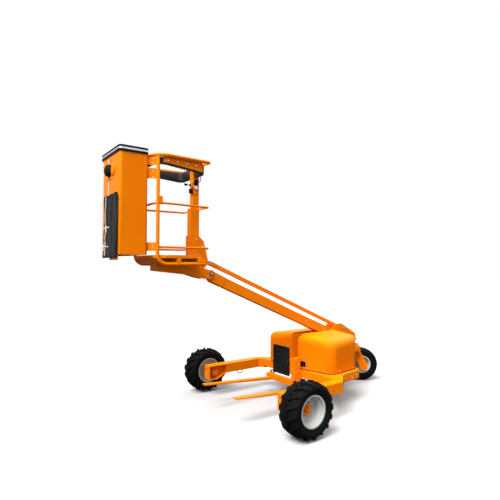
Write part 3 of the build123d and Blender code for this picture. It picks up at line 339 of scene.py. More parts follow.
def surroundings():
    """White where they are seen or mirrored, and dimmer as a light on the machine."""
    world = bpy.data.worlds.new("studio")
    bpy.context.scene.world = world
    world.use_nodes = True
    tree = world.node_tree
    tree.nodes.clear()
    path = add_node(tree, "ShaderNodeLightPath")
    seen = path.outputs["Is Camera Ray"]
    for ray in ("Is Glossy Ray", "Is Transmission Ray"):
        either = add_node(tree, "ShaderNodeMath", operation="MAXIMUM")
        tree.links.new(seen, either.inputs[0])
        tree.links.new(path.outputs[ray], either.inputs[1])
        seen = either.outputs[0]
    looks = [{"Color": (1, 1, 1, 1), "Strength": strength} for strength in (AMBIENT, 1.0)]
    two_looks(tree, "ShaderNodeBackground", looks, seen, "ShaderNodeOutputWorld")


def pale_floor():
    """Floor that is seen pale and throws little light back."""
    finish = bpy.data.materials.new("pale floor")
    finish.use_nodes = True
    tree = finish.node_tree
    tree.nodes.clear()
    seen = add_node(tree, "ShaderNodeLightPath").outputs["Is Camera Ray"]
    looks = [{"Color": (grey, grey, grey, 1)} for grey in (FLOOR_FELT, FLOOR_SHOWN)]
    two_looks(tree, "ShaderNodeBsdfDiffuse", looks, seen, "ShaderNodeOutputMaterial")
    far = FLOOR_REACH
    corners = [(-far, -far, 0), (far, -far, 0), (far, far, 0), (-far, far, 0)]
    mesh = bpy.data.meshes.new("floor")
    mesh.from_pydata(corners, [], [(0, 1, 2, 3)])
    mesh.materials.append(finish)
    in_scene("floor", mesh)


def lamps():
    """Soft suns, one for each row of LAMPS."""
    for name, towards_lamp, strength, spread in LAMPS:
        data = bpy.data.lights.new(name, "SUN")
        data.energy = strength
        data.angle = radians(spread)
        lamp = in_scene(name, data)
        lamp.rotation_mode = "QUATERNION"
        lamp.rotation_quaternion = Vector(towards_lamp).to_track_quat("Z", "Y")


def camera():
    data = bpy.data.cameras.new("camera")
    data.lens = CAMERA_LENS
    data.sensor_width = CAMERA_SENSOR
    made = in_scene("camera", data)
    made.location = CAMERA_PLACE
    made.rotation_euler = (pi / 2 + CAMERA_PITCH, 0, CAMERA_TURN)
    bpy.context.scene.camera = made


# Shapes for the modelled pieces
def smooth_object(bm, name, finish):
    """Turns collected faces into a smooth object of one finish."""
    mesh = bpy.data.meshes.new(name)
    bm.to_mesh(mesh)
    bm.free()
    for polygon in mesh.polygons:
        polygon.use_smooth = True
    mesh.materials.append(finish)
    return in_scene(name, mesh)


class Shape:
    """Collects closed solids into the mesh of one piece."""

    def __init__(self):
        self.bm = bmesh.new()

    def ring(self, points):
        return [self.bm.verts.new(point) for point in points]

    def skin(self, rings, closed=False):
        """Joins rings of points, and caps the two ends of an open run."""
        pairs = list(zip(rings, rings[1:]))
        if closed:
            pairs.append((rings[-1], rings[0]))
        for low, high in pairs:
            count = max(len(low), len(high))
            for i in range(count):
                j = (i + 1) % count
                if len(low) == 1:
                    self.bm.faces.new((low[0], high[j], high[i]))
                elif len(high) == 1:
                    self.bm.faces.new((low[i], low[j], high[0]))
                else:
                    self.bm.faces.new((low[i], low[j], high[j], high[i]))
        if not closed:
            for points in (rings[0][::-1], rings[-1]):
                if len(points) > 2:
                    self.bm.faces.new(points)

    def lathe(self, origin, axis, profile, sides=24, closed=False):
        """Turned solid. Profile: radius, then height along the axis.

        A closed profile makes a ring. An open one is taken flat to the axis at both ends.
        """
        if not closed:
            profile = [(0, profile[0][1]), *profile]
            if profile[-1][0] > 0:
                profile.append((0, profile[-1][1]))
        turn = Vector(axis).to_track_quat("Z", "Y")
        rings = []
        for radius, height in profile:
            count = sides if radius > 0 else 1
            rings.append(self.ring([
                Vector(origin) + turn @ Vector((radius * cos(2 * pi * i / sides),
                                                radius * sin(2 * pi * i / sides), height))
                for i in range(count)]))
        self.skin(rings, closed)

    def washer(self, place, axis, inner, outer, high, sides=28, low=0.0):
        """Flat ring round an axis."""
        self.lathe(place, axis, [(inner, low), (outer, low), (outer, high), (inner, high)], sides,
                   closed=True)

    def rod(self, place, axis, radius, low, high, sides=20):
        """Plain round bar along an axis."""
        self.lathe(place, axis, [(radius, low), (radius, high)], sides)

    def prism(self, origin, across, up, outline, depth):
        """Outline in the plane of two directions, pushed along their normal."""
        across = Vector(across).normalized()
        up = Vector(up).normalized()
        push = across.cross(up) * depth
        flat = [Vector(origin) + across * a + up * b for a, b in outline]
        self.skin([self.ring(flat), self.ring([point + push for point in flat])])

    def slab(self, corner, across, up, width, height, depth):
        """Plate that starts from a corner of its back."""
        self.prism(corner, across, up, [(0, 0), (width, 0), (width, height), (0, height)], depth)

    def plate(self, middle, across, up, width, height, depth, corner=0.0):
        """Plate whose back is centred on a point, with cut corners."""
        w, h, c = width / 2, height / 2, corner
        outline = [(-w, -h), (w, -h), (w, h), (-w, h)]
        if c:
            outline = [(-w + c, -h), (w - c, -h), (w, -h + c), (w, h - c), (w - c, h), (-w + c, h),
                       (-w, h - c), (-w, -h + c)]
        self.prism(middle, across, up, outline, depth)

    def tube(self, points, radius, sides=10, closed=False):
        """Bar along a line of points; the radius is one number or one for each point."""
        points = [Vector(point) for point in points]
        count = len(points)
        rings = []
        side = None
        for i, point in enumerate(points):
            if closed:
                ahead = points[(i + 1) % count] - points[i - 1]
            else:
                ahead = points[min(i + 1, count - 1)] - points[max(i - 1, 0)]
            ahead.normalize()
            if side is None:
                side = ahead.orthogonal().normalized()
            side = (side - ahead * side.dot(ahead)).normalized()
            up = ahead.cross(side)
            size = radius[i] if isinstance(radius, list) else radius
            rings.append(self.ring([
                point + size * (side * cos(2 * pi * k / sides) + up * sin(2 * pi * k / sides))
                for k in range(sides)]))
        self.skin(rings, closed)

    def bolt(self, place, axis, size):
        """Hexagon head on a washer; size is the thread's diameter."""
        self.rod(place, axis, 1.05 * size, -0.001, 0.16 * size)
        self.lathe(place, axis, [(0.92 * size, 0.1 * size), (0.92 * size, 0.72 * size),
                                 (0.80 * size, 0.82 * size)], 6)

    def bead(self, start, end, radius):
        """Weld bead, rippled along its length."""
        start, end = Vector(start), Vector(end)
        steps = max(3, int((end - start).length / 0.005))
        points = [start.lerp(end, i / steps) for i in range(steps + 1)]
        self.tube(points, [radius * (1.0 if i % 2 else 0.82) for i in range(steps + 1)], 6)

    def made(self, name, body, finish, sharp=SHARP, bevel=0.0, replaces=()):
        """Makes the piece, rounds its edges and lets it ride on a body."""
        bmesh.ops.recalc_face_normals(self.bm, faces=self.bm.faces)
        made = smooth_object(self.bm, name, finish)
        made.data.set_sharp_from_angle(angle=radians(sharp))
        if bevel:
            soften(made, bevel, sharp)
        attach(made, body)
        if replaces:
            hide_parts(*replaces)
        return made


# Wheels: nuts, grease caps, valves, ribs on the sidewalls and humps on the rims
# Columns: name, outboard, half width, rim radius, half rim width, flange face
WHEELS = [
    ("front_left", LEFT, 0.131, 0.167, 0.108, -0.001),
    ("front_right", -LEFT, 0.131, 0.167, 0.108, -0.001),
    ("rear", -axis_of["rear_roll"], 0.093, 0.135, 0.075, 0.034),
]
NUTS = 6
NUT_CIRCLE = 0.057
NUT_SIZE = 0.0125
CAP_OUT = 0.028
CAP = [(0.03, -0.004), (0.03, 0.005), (0.027, 0.011), (0.019, 0.015), (0.009, 0.017), (0, 0.0175)]
VALVE_ANGLE = 0.5
VALVE_DEPTH = 0.04
VALVE_CAP = [(0.0055, 0), (0.0055, 0.011), (0.004, 0.013)]
RING_STEPS = 72
# Columns: share of the way from rim to tread, share of the half width, radius
FOOT_RIBS = [(0.10, 0.88, 0.0045), (0.17, 0.915, 0.003)]
FRONT_RIBS = FOOT_RIBS + [(0.48, 0.991, 0.003), (0.54, 0.981, 0.0022)]
REAR_RIBS = FOOT_RIBS + [(0.60, 0.985, 0.003), (0.66, 0.975, 0.0022)]
# Columns: share of the half rim width, depth under the rim's edge, radius
HUMPS = [(0.62, 0.0145, 0.0035), (0.20, 0.033, 0.003), (-0.62, 0.0145, 0.0035)]


def spoke(outboard, angle):
    """Direction out from a wheel's axle; 0 is straight up."""
    return UP * cos(angle) + outboard.cross(UP) * sin(angle)


def wheel_ring(shape, middle, outboard, radius, size):
    """Thin ring round a wheel."""
    turns = [2 * pi * number / RING_STEPS for number in range(RING_STEPS)]
    shape.tube([middle + spoke(outboard, turn) * radius for turn in turns], size, 6, closed=True)


def wheel_nuts(name, face, outboard):
    """Nuts, with the ends of their studs."""
    nuts = Shape()
    for number in range(NUTS):
        place = face + spoke(outboard, 2 * pi * number / NUTS) * NUT_CIRCLE
        nuts.bolt(place, outboard, NUT_SIZE)
        nuts.lathe(place, outboard, [(0.0052, 0), (0.0052, 0.018), (0.004, 0.02)], 12)
    nuts.made(f"{name}_wheel_nuts", f"{name}_wheel", ZINC, bevel=0.0005)


def grease_cap(name, tip, outboard):
    cap = Shape()
    cap.lathe(tip, outboard, CAP, 36)
    cap.washer(tip, outboard, 0.0335, 0.0375, 0.004, 36, -0.002)
    cap.made(f"{name}_grease_cap", f"{name}_wheel", ORANGE, bevel=0.0006)


def valve_stem(name, middle, outboard, rim_radius, rim_half):
    valve = Shape()
    out = spoke(outboard, VALVE_ANGLE)
    root = middle + outboard * (0.35 * rim_half) + out * (rim_radius - VALVE_DEPTH)
    bend = root + outboard * 0.03 - out * 0.012
    valve.tube([root + out * 0.008, root, bend, bend + outboard * 0.014],
               [0.006, 0.005, 0.0042, 0.0042], 12)
    valve.lathe(bend + outboard * 0.01, outboard, VALVE_CAP, 12)
    valve.made(f"{name}_valve", f"{name}_wheel", SEAL)


def dress_wheel(name, outboard, half, rim_radius, rim_half, face):
    """Fasteners and rings that turn with one wheel."""
    middle = place_of[f"{name}_roll"]
    tyre_radius = middle.z
    wheel_nuts(name, middle + outboard * face, outboard)
    grease_cap(name, middle + outboard * (face + CAP_OUT), outboard)
    valve_stem(name, middle, outboard, rim_radius, rim_half)
    ribs = Shape()
    for sense in SIDES:
        for share, out, size in REAR_RIBS if name == "rear" else FRONT_RIBS:
            radius = rim_radius + share * (tyre_radius - rim_radius)
            wheel_ring(ribs, middle + outboard * (sense * out * half), outboard, radius, size)
    ribs.made(f"{name}_sidewall_ribs", f"{name}_wheel", RUBBER, sharp=60)
    humps = Shape()
    for out, depth, size in HUMPS:
        wheel_ring(humps, middle + outboard * (out * rim_half), outboard, rim_radius - depth, size)
    humps.made(f"{name}_rim_humps", f"{name}_wheel", RIM, sharp=60)


for row in WHEELS:
    dress_wheel(*row)


# Boom: pins, washers, small bolts, weld beads and the plate on its end
PIVOT = place_of["boom_lift"]
HEAD = place_of["cage_level"]
ALONG = (HEAD - PIVOT).normalized()
OVER = Vector((-ALONG.z, 0, ALONG.x))
BOOM_HALF = 0.05
PLATE_FACE = 0.058
BOOM_TOP = 0.035
BOOM_LOW = -0.077
# Places along the boom and over its pivot line
LIFT_PIN = (0.3987, -0.0426)
SIDE_BOSS = (0.765, -0.024)
KNUCKLE_BOLTS = [(0.60, -0.055), (0.64, -0.055)]
# Half of the lift's pin, from its middle out: radius, then height
PIN_END = [(0.0112, 0), (0.0112, 0.0575), (0.0124, 0.058), (0.0124, 0.06), (0.011, 0.0612)]
# Columns: rear end and front end of a welded plate, end with an upright bead
BOOM_PLATES = [(0.49, 0.69, 0.69), (2.18, 2.318, 2.18)]


def on_boom(s, t, y):
    """Place from the distance along the boom, over its pivot line and to the left."""
    return PIVOT + s * ALONG + t * OVER + y * LEFT


bolts = Shape()
head_washers = Shape()
for sense in SIDES:
    side = LEFT * sense
    bolts.lathe(on_boom(*LIFT_PIN, 0), side, PIN_END, 28)
    bolts.washer(on_boom(*LIFT_PIN, sense * PLATE_FACE), side, 0.0126, 0.019, 0.002)
    head_washers.washer(HEAD + side * 0.0785, side, 0.0142, 0.0285, 0.003)
    bolts.lathe(HEAD + side * 0.085, side, [(0.0115, 0), (0.0115, 0.0035), (0.0095, 0.005)], 28)
    boss = on_boom(*SIDE_BOSS, sense * BOOM_HALF)
    bolts.washer(boss, side, 0.0075, 0.0125, 0.003, 24, -0.001)
    bolts.bolt(boss, side, 0.0085)
    for s, t in KNUCKLE_BOLTS:
        bolts.bolt(on_boom(s, t, sense * PLATE_FACE), side, 0.005)
bolts.made("boom_fasteners", "boom", ZINC, bevel=0.0004)
head_washers.made("head_washers", "boom", CAST, bevel=0.0004)

welds = Shape()
for sense in SIDES:
    y = sense * (BOOM_HALF + 0.0015)
    for rear, front, upright in BOOM_PLATES:
        welds.bead(on_boom(upright, BOOM_LOW + 0.002, y),
                   on_boom(upright, BOOM_TOP - 0.002, y), 0.0038)
        for t in (BOOM_TOP - 0.001, BOOM_LOW + 0.001):
            welds.bead(on_boom(rear, t, y), on_boom(front, t, y), 0.0034)
welds.bead(on_boom(0.484, BOOM_TOP, -0.046), on_boom(0.484, BOOM_TOP, 0.046), 0.0035)
welds.made("boom_welds", "boom", ORANGE, sharp=60)

cover = Shape()
cover.plate(on_boom(2.3175, -0.021, 0), LEFT, -OVER, 0.088, 0.10, 0.004, 0.006)
cover.made("boom_end_plate", "boom", ORANGE, bevel=0.0008)

# Tower: pin heads with keepers, small bolts, and beads at the foot and the kingpin housing
LINK_REAR = place_of["link_swing"]
TOWER_FACE = 0.078
TOWER_FOOT = 0.402
TOWER_BOLTS = [(-1.179, 0.873), (-1.205, 0.773)]
bolts = Shape()
for sense in SIDES:
    side = LEFT * sense
    for pin, radius, length in ((PIVOT, 0.015, 0.01), (LINK_REAR, 0.01, 0.008)):
        face = pin + side * TOWER_FACE
        bolts.washer(face, side, radius, 1.55 * radius, 0.003)
        bolts.lathe(face, side, [(0.8 * radius, length - 0.001), (0.65 * radius, length + 0.001)])
    for x, z in TOWER_BOLTS:
        bolts.bolt((x, sense * TOWER_FACE, z), side, 0.008)
    bolts.plate((-1.222, sense * TOWER_FACE, 0.749), (0.6 * sense, 0, 0.8 * sense),
                (-0.8, 0, 0.6), 0.062, 0.018, -0.0035, 0.003)
bolts.made("tower_fasteners", "chassis", ZINC, bevel=0.0004)

welds = Shape()
for sense in SIDES:
    y = sense * (TOWER_FACE + 0.001)
    welds.bead((-0.955, y, TOWER_FOOT), (-0.42, y, TOWER_FOOT), 0.0038)
    welds.bead((-1.498, y, 0.494), (-1.498, y, 0.556), 0.0036)
welds.made("tower_welds", "chassis", ORANGE, sharp=60)

# Kingpin: nut over the housing, seal under it
KINGPIN = place_of["rear_steer"]
NUT_SHAPE = [(0.036, -0.002), (0.036, 0.003), (0.031, 0.003), (0.031, 0.02), (0.027, 0.023)]
SEAL_SHAPE = [(0.026, -0.003), (0.044, -0.003), (0.0455, 0.0), (0.044, 0.0028), (0.026, 0.0028)]
nut = Shape()
nut.lathe(KINGPIN + UP * 0.052, UP, NUT_SHAPE, 6)
nut.made("kingpin_nut", "rear_steering", ZINC, bevel=0.0008)
seal = Shape()
seal.lathe(KINGPIN - UP * 0.0328, UP, SEAL_SHAPE, 32, closed=True)
seal.made("kingpin_seal", "rear_steering", SEAL)

# Level link: washers on its front pin, bolts along it and beads behind its front eye
LINK_FRONT = LINK_REAR + HEAD - PIVOT
LINK_FACE = 0.015
bolts = Shape()
for sense in SIDES:
    side = LEFT * sense
    bolts.washer(LINK_FRONT + side * 0.0242, side, 0.0131, 0.018, 0.0022, 24)
    for s in (0.16, 1.19, 2.20):
        bolts.bolt(LINK_REAR + s * ALONG + side * LINK_FACE, side, 0.006)
bolts.made("link_fasteners", "level_link", ZINC, bevel=0.0003)
welds = Shape()
for sense in SIDES:
    for t in (-0.0225, 0.0225):
        start = LINK_FRONT - 0.11 * ALONG + t * OVER + LEFT * (sense * (LINK_FACE + 0.0005))
        welds.bead(start, start + 0.05 * ALONG, 0.0028)
welds.made("link_welds", "level_link", ORANGE, sharp=60)

# Lift cylinder: gland, band round its foot, ports and wiper
BASE = place_of["lift_swing"]
LIFT = axis_of["lift_stroke"]
LIFT_SIDE = LIFT.cross(LEFT)
BARREL = 0.0341
GLAND = [(BARREL, 0.395), (0.0375, 0.397), (0.0375, 0.424), (0.035, 0.4305), (0.0205, 0.4315),
         (0.0205, 0.428), (BARREL, 0.427)]
FOOT_BAND = [(BARREL, 0.06), (0.0362, 0.061), (0.0362, 0.078), (BARREL, 0.079)]
LIFT_PORT = [(0.011, 0), (0.011, 0.014), (0.0085, 0.014), (0.0085, 0.026)]
WIPER = [(0.0204, 0.4312), (0.0265, 0.4312), (0.0255, 0.4355), (0.0208, 0.4365)]
gland = Shape()
for profile in (GLAND, FOOT_BAND):
    gland.lathe(BASE, LIFT, profile, 40, closed=True)
for s in (0.085, 0.375):
    gland.lathe(BASE + LIFT * s + LIFT_SIDE * 0.031, LIFT_SIDE, LIFT_PORT, 20)
gland.made("lift_gland", "lift_barrel", BLACK, bevel=0.0005)
wiper = Shape()
wiper.lathe(BASE, LIFT, WIPER, 40, closed=True)
wiper.made("lift_wiper", "lift_barrel", SEAL)

# Hoods: seals round their feet, a bare plate and fasteners
HOOD_FOOT = 0.4045
HOOD_BOLT_Z = 0.425
HOOD_CORNER = Vector((-0.362, 0.082, 0))
HOOD_SLANT = Vector((-0.2281, 0.9736, 0))
HOOD_FRONT = HOOD_SLANT.cross(UP)
LEFT_OUTLINE = [(-0.3635, 0.09), (-0.38, 0.16), (-0.405, 0.267), (-0.434, 0.395),
                (-0.454, 0.48), (-0.48, 0.53), (-0.52, 0.56), (-0.57, 0.562),
                (-0.68, 0.55), (-0.82, 0.532), (-0.94, 0.517), (-1.0, 0.506),
                (-1.03, 0.48), (-1.032, 0.30), (-1.032, 0.09)]
RIGHT_NOSE = [(-0.3625, -0.43), (-0.364, -0.48), (-0.385, -0.53), (-0.43, -0.565)]
RIGHT_OUTLINE = RIGHT_NOSE + [(x, -y) for x, y in LEFT_OUTLINE[8:]]
for name, outline in (("left", LEFT_OUTLINE), ("right", RIGHT_OUTLINE)):
    seal = Shape()
    seal.tube([(x, y, HOOD_FOOT) for x, y in outline], 0.0055, 8)
    seal.made(f"{name}_hood_seal", "chassis", SEAL, sharp=60)

plate_middle = HOOD_CORNER + HOOD_SLANT * 0.062 + UP * 0.474
bare_plate = Shape()
bare_plate.plate(plate_middle, HOOD_SLANT, UP, 0.104, 0.078, 0.0016, 0.006)
bare_plate.made("bare_plate", "chassis", ZINC, bevel=0.0004)
plate_face = Shape()
plate_face.plate(plate_middle + HOOD_FRONT * 0.0014, HOOD_SLANT, UP, 0.088, 0.062, 0.001, 0.004)
plate_face.made("bare_plate_face", "chassis", BLACK)

bolts = Shape()
for sense in SIDES:
    for x, y in ((-0.62, 0.5575), (-0.90, 0.5215)):
        bolts.bolt((x, sense * y, HOOD_BOLT_Z), Vector((-0.13, 0.99 * sense, 0)), 0.0065)
for across in (0.161, 0.2852, 0.414):
    bolts.bolt(HOOD_CORNER + HOOD_SLANT * across + UP * HOOD_BOLT_Z, HOOD_FRONT, 0.006)
bolts.made("hood_fasteners", "chassis", ZINC, bevel=0.0003)

# Grille: dark screen behind the louvres, and its screws
GRILLE_Y = -0.255
GRILLE_Z = 0.461
SCREW = [(0.0042, -0.001), (0.0042, 0.0012), (0.003, 0.0024), (0, 0.0026)]
screen = Shape()
screen.plate((-0.36, GRILLE_Y, GRILLE_Z), LEFT, UP, 0.292, 0.35, 0.0016)
screen.made("grille_screen", "chassis", SEAL)
screws = Shape()
for y in (-0.153, 0.153):
    for z in (-0.181, 0, 0.181):
        screws.lathe((-0.334, GRILLE_Y + y, GRILLE_Z + z), FORWARD, SCREW, 16)
screws.made("grille_screws", "chassis", ZINC)

# Frame: bolts along the side rails, corner plates at the back
RAIL = Vector((0.9889, 0.1483, 0))


def rail_out(sense):
    """Level direction out of the side rail."""
    return Vector((-RAIL.y, sense * RAIL.x, 0))


bolts = Shape()
for sense in SIDES:
    for x in (-0.664, -0.80, -0.92):
        y = 0.66 + 0.15 * (x + 0.36)
        bolts.bolt((x, sense * y, 0.332), rail_out(sense), 0.009)
        bolts.bolt((x + 0.022, sense * (y + 0.0033), 0.348), rail_out(sense), 0.006)
bolts.made("rail_fasteners", "chassis", ZINC, bevel=0.0004)
plates = Shape()
for sense in SIDES:
    plates.plate((-0.96, sense * 0.53, 0.352), -LEFT, UP, 0.074, 0.128, 0.008, 0.006)
plates.made("corner_plates", "chassis", ORANGE, bevel=0.001)

# Legs: root flanges, beads, motor bolts and tie rings
LEG_Y = 0.775
LEG_HALF = 0.0655
LEG_END = 0.231
FLANGE = [(-0.105, -0.066), (0.105, -0.066), (0.105, 0.058), (-0.105, 0.058)]
FLANGE_THICK = 0.009
MOTOR_FACE = 0.75
MOTOR_BOLTS = 5
MOTOR_CIRCLE = 0.03
MOTOR_COVER = [(0.041, -0.001), (0.041, 0.005), (0.037, 0.008), (0.02, 0.009)]
TIE_X = -0.018
TIE_HALF = 0.046
TIE_Z = 0.262
TIE_DROP = 0.04
TIE_TOP = 0.284
TIE_STEPS = 24
front_axle = place_of["front_left_roll"]
flanges = Shape()
welds = Shape()
bolts = Shape()
ties = Shape()
for sense in SIDES:
    side = rail_out(sense)
    rail = Vector((RAIL.x, sense * RAIL.y, 0))
    root = Vector((-0.472, sense * 0.6432, 0.34))
    flanges.prism(root, rail * -sense, UP, FLANGE, FLANGE_THICK)
    for x in (-0.092, 0.092):
        for z in (-0.052, 0.045):
            flanges.bolt(root + rail * x + UP * z + side * FLANGE_THICK, side, 0.009)
    for y in (LEG_Y - LEG_HALF, LEG_Y + LEG_HALF):
        welds.bead((LEG_END, sense * y, 0.283), (LEG_END, sense * y, 0.397), 0.0036)
    inboard = LEFT * -sense
    motor = Vector((front_axle.x, sense * MOTOR_FACE, front_axle.z))
    flanges.lathe(motor, inboard, MOTOR_COVER, 32)
    for number in range(MOTOR_BOLTS):
        angle = 2 * pi * (number + 0.25) / MOTOR_BOLTS
        spot = MOTOR_CIRCLE * (UP * cos(angle) + FORWARD * sin(angle))
        bolts.bolt(motor + inboard * 0.006 + spot, inboard, 0.0058)
    bolts.bolt((0.517, sense * LEG_Y, 0.372), FORWARD, 0.012)
    turns = [pi * number / TIE_STEPS for number in range(TIE_STEPS + 1)]
    tie = [(TIE_X - TIE_HALF * cos(turn), TIE_Z - TIE_DROP * sin(turn)) for turn in turns]
    tie = [(TIE_X - TIE_HALF, TIE_TOP), *tie, (TIE_X + TIE_HALF, TIE_TOP)]
    ties.tube([(x, sense * LEG_Y, z) for x, z in tie], 0.0062, 10)
    ties.plate((TIE_X, sense * LEG_Y, 0.2805), FORWARD, LEFT, 0.12, 0.04, -0.005, 0.006)
flanges.made("leg_flanges", "chassis", ORANGE, bevel=0.001)
welds.made("leg_welds", "chassis", ORANGE, sharp=60)
bolts.made("leg_fasteners", "chassis", ZINC, bevel=0.0004)
ties.made("tie_rings", "chassis", ORANGE, sharp=60)

# Forks: bolts and an ear on the carrier's post, beads at the tines' heels
POST_FRONT = -0.23
TINE_Y = 0.333
TINE_HALF = 0.04
EAR = [(0, 0.006), (0.006, 0), (0.024, 0), (0.024, 0.044), (0.006, 0.044), (0, 0.038)]
bolts = Shape()
bolts.bolt((POST_FRONT, 0.06, 0.527), FORWARD, 0.009)
for z in (0.53, 0.384):
    bolts.bolt((-0.254, 0.15, z), LEFT, 0.009)
for z in (0.30, 0.42):
    bolts.bolt((POST_FRONT, 0.115, z), FORWARD, 0.008)
for y in (-0.20, 0.20):
    bolts.bolt((POST_FRONT, y, 0.235), FORWARD, 0.009)
bolts.made("fork_fasteners", "chassis", ZINC, bevel=0.0004)
ear = Shape()
ear.prism((-0.242, 0.058, 0.505), LEFT, UP, EAR, 0.012)
ear.slab((-0.334, 0.076, 0.5495), FORWARD, LEFT, 0.108, 0.078, 0.006)
ear.made("post_ear", "chassis", ORANGE, bevel=0.001)
welds = Shape()
for sense in SIDES:
    low = sense * TINE_Y - TINE_HALF
    high = sense * TINE_Y + TINE_HALF
    welds.bead((-0.2285, low, 0.2275), (-0.2285, high, 0.2275), 0.0052)
    welds.bead((-0.229, low, 0.203), (-0.229, high, 0.203), 0.004)
    for y in (low, high):
        welds.bead((-0.229, y, 0.204), (-0.229, y, 0.226), 0.0038)
welds.made("tine_welds", "chassis", ORANGE, sharp=60)

# Cage: fasteners, plates on its posts and weld beads
RING_REAR = 1.122
RING_FRONT = 1.751
RING_REAR_HALF = 0.31
RING_FRONT_HALF = 0.35
RING_SLOPE = (RING_FRONT_HALF - RING_REAR_HALF) / (RING_FRONT - RING_REAR)
BAND_INSET = 0.0183
BAND_BOLTS = (1.28, 1.39, 1.50, 1.61)
POST_BOLT_HEIGHTS = (1.93, 1.955, 2.625, 2.685, 2.76, 2.81)
BASE_BOLTS = [(1.075, 1.96), (1.16, 2.04), (1.16, 1.76), (1.56, 1.79), (1.30, 1.79)]
bolts = Shape()
for sense in SIDES:
    for x in BAND_BOLTS:
        y = RING_REAR_HALF + (x - RING_REAR) * RING_SLOPE - BAND_INSET
        bolts.bolt((x, sense * y, 2.80), Vector((-RING_SLOPE, sense, 0)), 0.0095)
    out = Vector((0.618, sense * 0.786, 0))
    for z in POST_BOLT_HEIGHTS:
        bolts.bolt(Vector((1.745, sense * 0.277, z)) + out * 0.0042, out, 0.006)
    for x, z in BASE_BOLTS:
        bolts.bolt((x, sense * 0.078, z), LEFT * sense, 0.009)
for low, high in ((-0.032, -0.0299), (0.0299, 0.032)):
    bolts.rod(LINK_FRONT, LEFT, 0.0085, low, high)
bolts.made("cage_fasteners", "cage", ZINC, bevel=0.0004)

plates = Shape()
for sense in SIDES:
    plates.plate((1.689, sense * 0.3225, 2.4), FORWARD * -sense, UP, 0.05, 0.07, 0.005, 0.004)
plates.made("post_plates", "cage", ORANGE, bevel=0.0008)

welds = Shape()
for sense in SIDES:
    y = sense * 0.0795
    welds.bead((1.118, y, 1.6125), (1.228, y, 1.65), 0.0036)
    welds.bead((1.23, y, 1.6505), (1.62, y, 1.694), 0.0036)
    y = sense * 0.0665
    welds.bead((1.2025, y, 1.908), (1.2025, y, 2.076), 0.0036)
    y = sense * 0.046
    welds.bead((1.10, y, 2.0605), (1.202, y, 2.0605), 0.0032)
welds.bead((1.1765, -0.034, 2.386), (1.1765, 0.034, 2.386), 0.0032)
welds.made("cage_welds", "cage", ORANGE, sharp=60)

# Mast: rope hook on its back
HOOK_LINE = [(1.10, 2.77), (1.078, 2.77), (1.068, 2.764), (1.062, 2.752), (1.062, 2.716),
             (1.068, 2.704), (1.078, 2.698), (1.10, 2.698)]
hook = Shape()
hook.tube([(x, 0, z) for x, z in HOOK_LINE], 0.0055, 10)
hook.plate((1.1005, 0, 2.734), -LEFT, UP, 0.04, 0.11, 0.004, 0.004)
hook.made("mast_hook", "cage", ORANGE, sharp=50)

# Controls: plate, switch box, dial, lower switch and a lever with a black knob
panel = Shape()
panel.plate((1.142, 0.035, 2.625), -FORWARD, UP, 0.066, 0.16, 0.008, 0.006)
panel.slab((1.176, 0, 2.624), LEFT, UP, 0.043, 0.048, 0.018)
panel.made("control_panel", "cage", ORANGE, bevel=0.001, replaces=("control_box",))

LEVER_Y = 0.012
LEVER_Z = 2.648
BUTTON = [(0.0105, -0.001), (0.0105, 0.003), (0.0085, 0.003), (0.0085, 0.009), (0.007, 0.0105)]
KNOB = [(0.0075, 0), (0.0085, 0.004), (0.0125, 0.012), (0.0142, 0.022), (0.013, 0.032),
        (0.0085, 0.038), (0, 0.0395)]
BOOT = [(0.0165, 0), (0.016, 0.003), (0.0125, 0.005), (0.014, 0.008), (0.0105, 0.01),
        (0.0115, 0.013), (0.007, 0.016)]
switches = Shape()
switches.plate((1.15, 0.043, 2.677), -FORWARD, UP, 0.04, 0.054, 0.034, 0.004)
for z in (2.664, 2.69):
    switches.lathe((1.15, 0.077, z), LEFT, BUTTON)
switches.plate((1.188, 0.024, 2.578), LEFT, UP, 0.026, 0.05, 0.026, 0.004)
switches.plate((1.182, 0.024, 2.578), LEFT, UP, 0.02, 0.02, 0.012)
switches.slab((1.172, 0.006, 2.552), LEFT, UP, 0.036, 0.052, 0.018)
switches.lathe((1.232, LEVER_Y, LEVER_Z), FORWARD, KNOB, 28)
switches.lathe((1.194, LEVER_Y, LEVER_Z), FORWARD, BOOT, 28)
switches.made("control_switches", "cage", SEAL, bevel=0.0006)

DIAL = (1.148, 0.043, 2.617)
DIAL_CASE = [(0.0235, 0), (0.0235, 0.018), (0.0215, 0.021), (0.02, 0.021), (0.0195, 0.018)]
dial = Shape()
dial.lathe(DIAL, LEFT, DIAL_CASE, 36)
dial.lathe(DIAL, LEFT, [(0.004, 0.017), (0.004, 0.02), (0, 0.0205)], 16)
dial.rod((1.205, LEVER_Y, LEVER_Z), FORWARD, 0.0045, 0, 0.03, 16)
dial.made("control_dial", "cage", ZINC, bevel=0.0005)

# Bin: trim stripe, port and straps
BIN_FRONT = 2.0832
STRIPE_Z = (2.8612, 2.879)
CORNERS = [(1, 1, 0), (-1, 1, 90), (-1, -1, 180), (1, -1, 270)]
CORNER_STEPS = 8


def rounded_box(x_low, x_high, half, corner):
    """Corner-rounded rectangle in plan, as a closed list of points."""
    points = []
    for sx, sy, start in CORNERS:
        x = x_high - corner if sx > 0 else x_low + corner
        y = sy * (half - corner)
        for number in range(CORNER_STEPS + 1):
            angle = radians(start + 90 * number / CORNER_STEPS)
            points.append((x + corner * cos(angle), y + corner * sin(angle)))
    return points


outer = rounded_box(1.7911, 2.0924, 0.2874, 0.033)
inner = rounded_box(1.793, 2.0905, 0.2855, 0.031)
stripe = Shape()
rings = []
for outline, level in ((outer, 0), (outer, 1), (inner, 1), (inner, 0)):
    rings.append(stripe.ring([(x, y, STRIPE_Z[level]) for x, y in outline]))
stripe.skin(rings, closed=True)
stripe.made("rim_stripe", "cage", ZINC, sharp=50)

